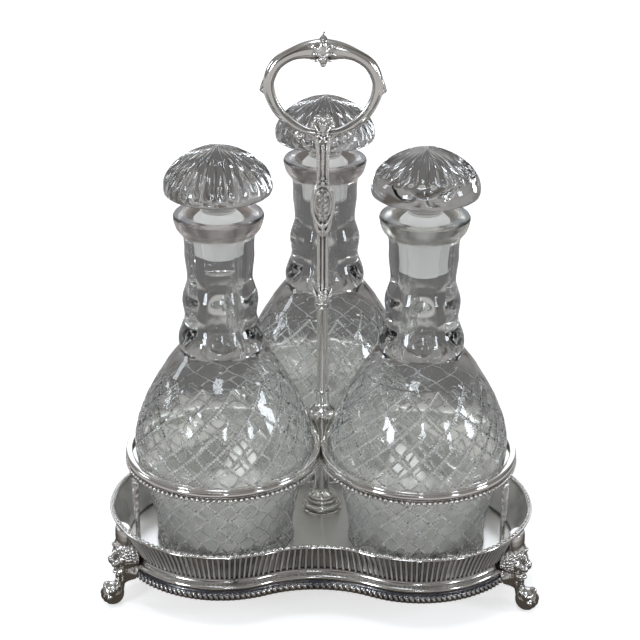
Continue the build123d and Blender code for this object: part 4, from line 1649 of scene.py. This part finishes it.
def split_faces(rise, around):
    """Triangles between rings of points, with their long sides along the grooves."""
    rows, columns = len(rise), len(around)
    index = np.arange(rows * columns).reshape(rows, columns)
    below, above = index[:-1], index[1:]
    corners = (below, np.roll(below, -1, 1), np.roll(above, -1, 1), above)
    rising = (np.round((around[None, :] - rise[:-1, None]) * CELLS).astype(int) + 1) % CELLS <= 1
    faces = []
    for a, b, c, d, up in zip(*(corner.ravel().tolist() for corner in corners), rising.ravel()):
        faces += [(a, b, c), (a, c, d)] if up else [(a, b, d), (b, c, d)]
    return faces


def decanter_mesh(name):
    """A decanter before it is cut, with marks of how far round and how far up each point is."""
    settings = bpy.context.scene.tantalus_glass
    columns = settings.diamonds * CELLS
    parts = decanter_outline()
    outline = np.vstack(parts)
    foot, cut, neck, cavity = np.cumsum([len(part) for part in parts[:-1]])
    angles = np.arange(columns) * tau / columns
    radii = np.repeat(outline[:, :1], columns, 1)
    heights = np.repeat(outline[:, 1:], columns, 1)
    skin = slice(foot, cavity)
    radii[skin] = thumbprints(radii[skin], heights[skin], angles[None, :], column=name != "right")
    tilts = diamond_tilts(settings.diamonds, neck - cut)
    radii[cut:neck] -= settings.diamond_tilt / MM * (1 + tilts)
    star = np.abs(((angles * STAR_POINTS / tau) % 1) - 0.5) * 2
    heights[: len(STAR_DEPTHS)] += np.outer(STAR_DEPTHS, 1 - star)
    rise = np.full(len(outline), -1.0)
    rise[cut:neck] = np.arange(neck - cut) / CELLS
    rise[neck:cavity] = CUT_ROWS + 1
    around = np.arange(columns) / CELLS
    x, y = (
        centre + radii * part
        for centre, part in zip(STATION[name], (np.cos(angles), np.sin(angles)))
    )
    points = np.stack([x, y, heights], axis=-1).reshape(-1, 3) * MM
    mesh = bpy.data.meshes.new(f"decanter_{name}")
    mesh.from_pydata(points.tolist(), [], split_faces(rise, around))
    mesh.shade_smooth()
    for mark, values in (("round", np.tile(around, len(rise))), ("rise", np.repeat(rise, columns))):
        marks = mesh.attributes.new(mark, "FLOAT", "POINT").data
        marks.foreach_set("value", values.astype(np.float32))
    return mesh


def make_decanter(name):
    """Makes a decanter: turned, cut, then given its glass face by face."""
    depth = bpy.context.scene.tantalus_glass.groove_depth
    material = glass(f"decanter_glass_{name}", tint=LIP_TINTS[name], roughness=0.03)
    host = hidden_object("host", decanter_mesh(name))
    modifier = host.modifiers.new("cut", "NODES")
    modifier.node_group = cutting_tree()
    rows = {"full_rows": float(CUT_FULL_ROWS), "all_rows": float(CUT_ROWS)}
    set_inputs(modifier, depth=depth, half_width=1 / CELLS, material=material, **rows)
    mesh = cleaned(evaluated(host))
    grooved = [value.value > 0.3 * depth for value in mesh.attributes["cut"].data]
    for mark in ("round", "rise", "cut"):
        mesh.attributes.remove(mesh.attributes[mark])
    for extra in (ground_glass(), groove_glass(), clouded_glass()):
        mesh.materials.append(extra)
    for face in mesh.polygons:
        level = face.center.z / MM
        if sum(grooved[corner] for corner in face.vertices) >= 2:
            face.material_index = GROOVE_SLOT
        elif level < MOUTH_GROUND_TO and in_mouth(face.center, name):
            face.material_index = GROUND_SLOT
        elif CLOUDED_FROM < level < CLOUDED_TO and inside_wall(face.center, name):
            face.material_index = CLOUDED_SLOT
    node = f"decanter_{name}"
    place(f"cut_decanter_{name}", mesh, None, node, [node], crease=14)


FLUTES_FROM = {"back": 275.5, "left": 275.5, "right": 290.5}


def make_stopper(name):
    """Makes a stopper: its ground peg, its neck and its fluted dome."""
    settings = bpy.context.scene.tantalus_glass
    around = settings.flutes * 10
    angles = np.arange(around) * tau / around
    lower = by_length(STOPPER_LOWER, 2.2)
    turn = np.linspace(0, pi / 2, 30)
    reach = DOME_RADIUS * np.cos(turn)
    level = DOME_LOW + (DOME_TOP - DOME_LOW) * np.sqrt(1 - (reach / DOME_RADIUS) ** 1.4)
    dome = np.stack([reach, level], axis=-1)
    outline = np.vstack([lower, dome])
    radii = np.repeat(outline[:, :1], around, 1)
    heights = np.repeat(outline[:, 1:], around, 1)
    slopes = np.gradient(outline, axis=0)
    slopes /= np.linalg.norm(slopes, axis=1, keepdims=True)
    hollow = 1 - (2 * ((angles * settings.flutes / tau) % 1) - 1) ** 2
    reach, level = outline[:, 0], outline[:, 1]
    strength = np.clip((level - FLUTES_FROM[name]) / 3, 0, 1) * np.clip(reach / 22, 0, 1)
    strength = strength * np.interp(level, (280, 292), (0.25, 1.0))
    depth = settings.flute_depth / MM * np.outer(strength, hollow)
    radii -= depth * slopes[:, 1:]
    heights += depth * slopes[:, :1]
    radii = np.maximum(radii, 0)
    x, y = (
        centre + radii * part
        for centre, part in zip(STATION[name], (np.cos(angles), np.sin(angles)))
    )
    mesh = mesh_of(f"stopper_{name}", Shell().grid(np.stack([x, y, heights], axis=-1)))
    mesh.materials.append(glass("fluted_glass", tint_levels=(0.5, 0.6)))
    mesh.materials.append(ground_glass())
    for face in mesh.polygons:
        face.material_index = int(in_mouth(face.center, name))
    node = f"stopper_{name}"
    place(f"fluted_stopper_{name}", mesh, None, node, [node], crease=18)


def brass():
    """Old brass, for what is hidden under the tray."""
    name = "old_brass"
    if name in bpy.data.materials:
        return bpy.data.materials[name]
    material, tree, shader = new_material(name)
    wear = add_node(tree, "ShaderNodeGroup", node_tree=shade_and_wear_group())
    preset(wear, {"Silver": (0.62, 0.45, 0.2, 1), "Tarnish": (0.16, 0.1, 0.05, 1)})
    preset(wear, {"Open": 0.75, "Smoothness": 0.25})
    wire_wear(tree, wear, shader, WEAR_DEPTH)
    shader.inputs["Metallic"].default_value = 1.0
    return material


def finish_fixings():
    """Gives the nut, washer and rod of the frame their brass."""
    for name in ("tie_rod", "base_washer", "base_nut"):
        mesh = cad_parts[name].data
        mesh.materials.clear()
        mesh.materials.append(brass())


def make_world(grey):
    """A dim room, paler overhead, with broad soft patches. Seen directly it is white."""
    world = bpy.data.worlds.new("studio")
    bpy.context.scene.world = world
    world.use_nodes = True
    tree = world.node_tree
    direction = add_node(tree, "ShaderNodeTexCoord")
    split = add_node(tree, "ShaderNodeSeparateXYZ")
    link(direction.outputs["Generated"], split.inputs["Vector"])
    strength = smooth_step(tree, split.outputs["Z"], end=0.9, low=grey * 0.7, high=grey * 1.15)
    patches = noise(tree, direction.outputs["Generated"], 2.2, 1.0)
    ramp = add_node(tree, "ShaderNodeValToRGB")
    link(patches, ramp.inputs["Fac"])
    stops = [
        (0.36, (0.25, 0.22, 0.19, 1)), (0.62, (1.95, 2.0, 2.15, 1)), (0.49, (0.72, 0.7, 0.69, 1))
    ]
    for (level, colour), element in zip(
        stops, [*ramp.color_ramp.elements, ramp.color_ramp.elements.new(0.5)]
    ):
        element.position = level
        element.color = colour
    room = tree.nodes["Background"]
    link(ramp.outputs["Color"], room.inputs["Color"])
    link(strength, room.inputs["Strength"])
    backdrop = add_node(tree, "ShaderNodeBackground")
    preset(backdrop, {"Color": (1, 1, 1, 1)})
    seen = add_node(tree, "ShaderNodeLightPath").outputs["Is Camera Ray"]
    show_either(tree, seen, room.outputs[0], backdrop.outputs[0], tree.nodes["World Output"])


def make_floor(stage):
    """A pale floor seen directly. Other rays see it glow with painted colours: the metal a painted
    table, dark near the stand as a painted shadow and paler beyond, the glass a grey one with a
    painted pool of light near the stand.
    """
    mesh = bpy.data.meshes.new("floor")
    reach, painted_patch_edge, painted_patch_fade_end = 6.0, 0.2, 0.34
    mesh.from_pydata(
        [(-reach, -reach, 0), (reach, -reach, 0), (reach, reach, 0), (-reach, reach, 0)], [],
        [(0, 1, 2, 3)]
    )
    floor = hidden_object("floor", mesh)
    material, tree, shader = new_material("floor")
    path = add_node(tree, "ShaderNodeLightPath")
    seen, through = path.outputs["Is Camera Ray"], path.outputs["Is Transmission Ray"]
    distance = add_node(tree, "ShaderNodeVectorMath", operation="LENGTH")
    link(spot_on_piece(tree), distance.inputs[0])
    fade = smooth_step(tree, distance.outputs["Value"], painted_patch_edge, painted_patch_fade_end)
    # Painted reflection with a painted shadow: the metal sees the floor glow dark near the stand
    # and paler beyond.
    reflected = blend(tree, fade, (*stage.reflected_shadow_near, 1), (*stage.reflected_floor_beyond, 1))
    # Painted light: seen through the glass, the floor glows bright near the stand and dim beyond.
    refracted = blend(tree, fade, (*stage.refracted_light_near, 1), (*stage.refracted_floor_far, 1))
    indirect = blend(tree, through, reflected, refracted)
    # The floor glows with these painted colours for every ray but the camera's; seen directly it is
    # evenly pale.
    glow = blend(tree, seen, indirect, (stage.floor_glow,) * 3 + (1,))
    pale = blend(tree, seen, (0, 0, 0, 1), (*stage.floor_colour, 1))
    link(pale, shader.inputs["Base Color"])
    link(glow, shader.inputs["Emission Color"])
    preset(shader, {"Emission Strength": 1.0, "Roughness": 1.0, "Specular IOR Level": 0.0})
    mesh.materials.append(material)


# ---------------------------------------------------------------- the stage
# each panel's name, share of the windows' light, azimuth, elevation, distance and size
PANELS = (
    ("window_left", 1.0, -43, 15, 1.7, (0.28, 0.45)),
    ("window_front", 1.0, 4, 18, 1.9, (0.1, 0.26)),
    ("window_front_right", 0.7, 41, 15, 1.8, (0.16, 0.4)),
    ("window_right", 0.8, 74, 16, 1.8, (0.3, 0.5)),
    ("window_left_side", 0.4, -100, 22, 2.0, (0.3, 0.6)),
    ("wall_behind", 0.075, 180, 30, 2.2, (2.4, 1.5)),
    ("lamp_above", 0.6, -20, 72, 1.9, (0.4, 0.4)),
)


def make_stage():
    """Makes the world, the floor, the panels of light and the camera."""
    stage = bpy.context.scene.tantalus_stage
    bpy.context.scene.view_settings.view_transform = "Standard"
    make_world(stage.room_grey)
    make_floor(stage)
    middle = Vector((COLUMN[0] * MM, COLUMN[1] * MM, 0.16))
    for name, share, *where in PANELS:
        panel = add_panel(name, middle, stage.window_light * share, *where)
        panel.visible_transmission = name != "wall_behind"
    make_camera()


def add_panel(name, target, light, azimuth, elevation, distance, size):
    """A bright panel that faces the stand. Azimuth 0 is in front of it and 90 to its right."""
    data = bpy.data.lights.new(name, "AREA")
    data.shape = "RECTANGLE"
    data.size, data.size_y = size
    data.energy = light * pi * size[0] * size[1]
    data.color = (0.87, 0.93, 1.0)
    panel = bpy.data.objects.new(name, data)
    turn, rise = radians(azimuth), radians(elevation)
    away = Vector((sin(turn) * cos(rise), -cos(turn) * cos(rise), sin(rise)))
    panel.location = target + distance * away
    panel.rotation_euler = away.to_track_quat("Z", "Y").to_euler()
    bpy.context.scene.collection.objects.link(panel)
    return panel


def make_camera():
    """Makes the camera in front of the stand, a little above it."""
    pitch, yaw, roll = radians(23.42), radians(-1.104), radians(0.182)
    distance = 1.12628
    focal_pixels, image_side, sensor = 1683.07, 640, 36.0
    centre_x, centre_y = 322.457, 311.223
    target = Vector((COLUMN[0] * MM, COLUMN[1] * MM, 0.18))
    forward = Vector((sin(yaw) * cos(pitch), cos(yaw) * cos(pitch), -sin(pitch)))
    right = Vector((cos(yaw), -sin(yaw), 0))
    up = right.cross(forward)
    across = cos(roll) * right + sin(roll) * up
    upright = -sin(roll) * right + cos(roll) * up
    data = bpy.data.cameras.new("camera")
    data.sensor_width = sensor
    data.lens = focal_pixels * sensor / image_side
    data.shift_x = (image_side / 2 - centre_x) / image_side
    data.shift_y = (centre_y - image_side / 2) / image_side
    camera = bpy.data.objects.new("camera", data)
    columns = Matrix((across, upright, -forward)).transposed()
    camera.matrix_world = Matrix.Translation(target - distance * forward) @ columns.to_4x4()
    bpy.context.scene.collection.objects.link(camera)
    bpy.context.scene.camera = camera


# ---------------------------------------------------------------- operators
class TANTALUS_OT_stage(bpy.types.Operator):
    """Make the floor, the lights and the camera"""

    bl_idname = "tantalus.stage"
    bl_label = "Stage"

    def execute(self, context):
        make_stage()
        return {"FINISHED"}


class TANTALUS_OT_tray(bpy.types.Operator):
    """Make the tray's gallery, beaded rim, border and lower edge"""

    bl_idname = "tantalus.tray"
    bl_label = "Tray"

    def execute(self, context):
        make_tray()
        return {"FINISHED"}


class TANTALUS_OT_feet(bpy.types.Operator):
    """Make the three lion feet and their screws"""

    bl_idname = "tantalus.feet"
    bl_label = "Lion feet"

    def execute(self, context):
        make_feet()
        return {"FINISHED"}


class TANTALUS_OT_rings(bpy.types.Operator):
    """Make the three rings and the beads under them"""

    bl_idname = "tantalus.rings"
    bl_label = "Rings"

    def execute(self, context):
        make_rings()
        return {"FINISHED"}


class TANTALUS_OT_brackets(bpy.types.Operator):
    """Make the three leaf brackets"""

    bl_idname = "tantalus.brackets"
    bl_label = "Brackets"

    def execute(self, context):
        make_brackets()
        return {"FINISHED"}


class TANTALUS_OT_column(bpy.types.Operator):
    """Make the turned parts of the column, and finish its fixings"""

    bl_idname = "tantalus.column"
    bl_label = "Column"

    def execute(self, context):
        make_column()
        finish_fixings()
        return {"FINISHED"}


class TANTALUS_OT_handle(bpy.types.Operator):
    """Make the reeded handle and its loop"""

    bl_idname = "tantalus.handle"
    bl_label = "Handle"

    def execute(self, context):
        make_handle()
        return {"FINISHED"}


class TANTALUS_OT_decanters(bpy.types.Operator):
    """Make the three cut decanters"""

    bl_idname = "tantalus.decanters"
    bl_label = "Decanters"

    def execute(self, context):
        for name in STATIONS:
            make_decanter(name)
        return {"FINISHED"}


class TANTALUS_OT_stoppers(bpy.types.Operator):
    """Make the three fluted stoppers"""

    bl_idname = "tantalus.stoppers"
    bl_label = "Stoppers"

    def execute(self, context):
        for name in STATIONS:
            make_stopper(name)
        return {"FINISHED"}


OPERATORS = (
    TANTALUS_OT_stage,
    TANTALUS_OT_tray,
    TANTALUS_OT_feet,
    TANTALUS_OT_rings,
    TANTALUS_OT_brackets,
    TANTALUS_OT_column,
    TANTALUS_OT_handle,
    TANTALUS_OT_decanters,
    TANTALUS_OT_stoppers,
)


class TANTALUS_PT_pieces(bpy.types.Panel):
    """The pieces of the decanter stand, in the order that they are made"""

    bl_idname = "TANTALUS_PT_pieces"
    bl_label = "Decanter stand"
    bl_space_type = "VIEW_3D"
    bl_region_type = "UI"
    bl_category = "Decanter stand"

    def draw(self, context):
        for operator in OPERATORS:
            self.layout.operator(operator.bl_idname)


CLASSES = (*SETTINGS.values(), *OPERATORS, TANTALUS_PT_pieces)


def register():
    """Adds the settings, the steps and their panel to Blender."""
    for kind in CLASSES:
        bpy.utils.register_class(kind)
    for name, group in SETTINGS.items():
        setattr(bpy.types.Scene, name, PointerProperty(type=group))


def unregister():
    """Takes them out again."""
    for name in SETTINGS:
        delattr(bpy.types.Scene, name)
    for kind in reversed(CLASSES):
        bpy.utils.unregister_class(kind)


def main():
    """Runs every step."""
    register()
    for operator in OPERATORS:
        getattr(bpy.ops.tantalus, operator.bl_idname.split(".")[1])()


if __name__ == "__main__":
    main()
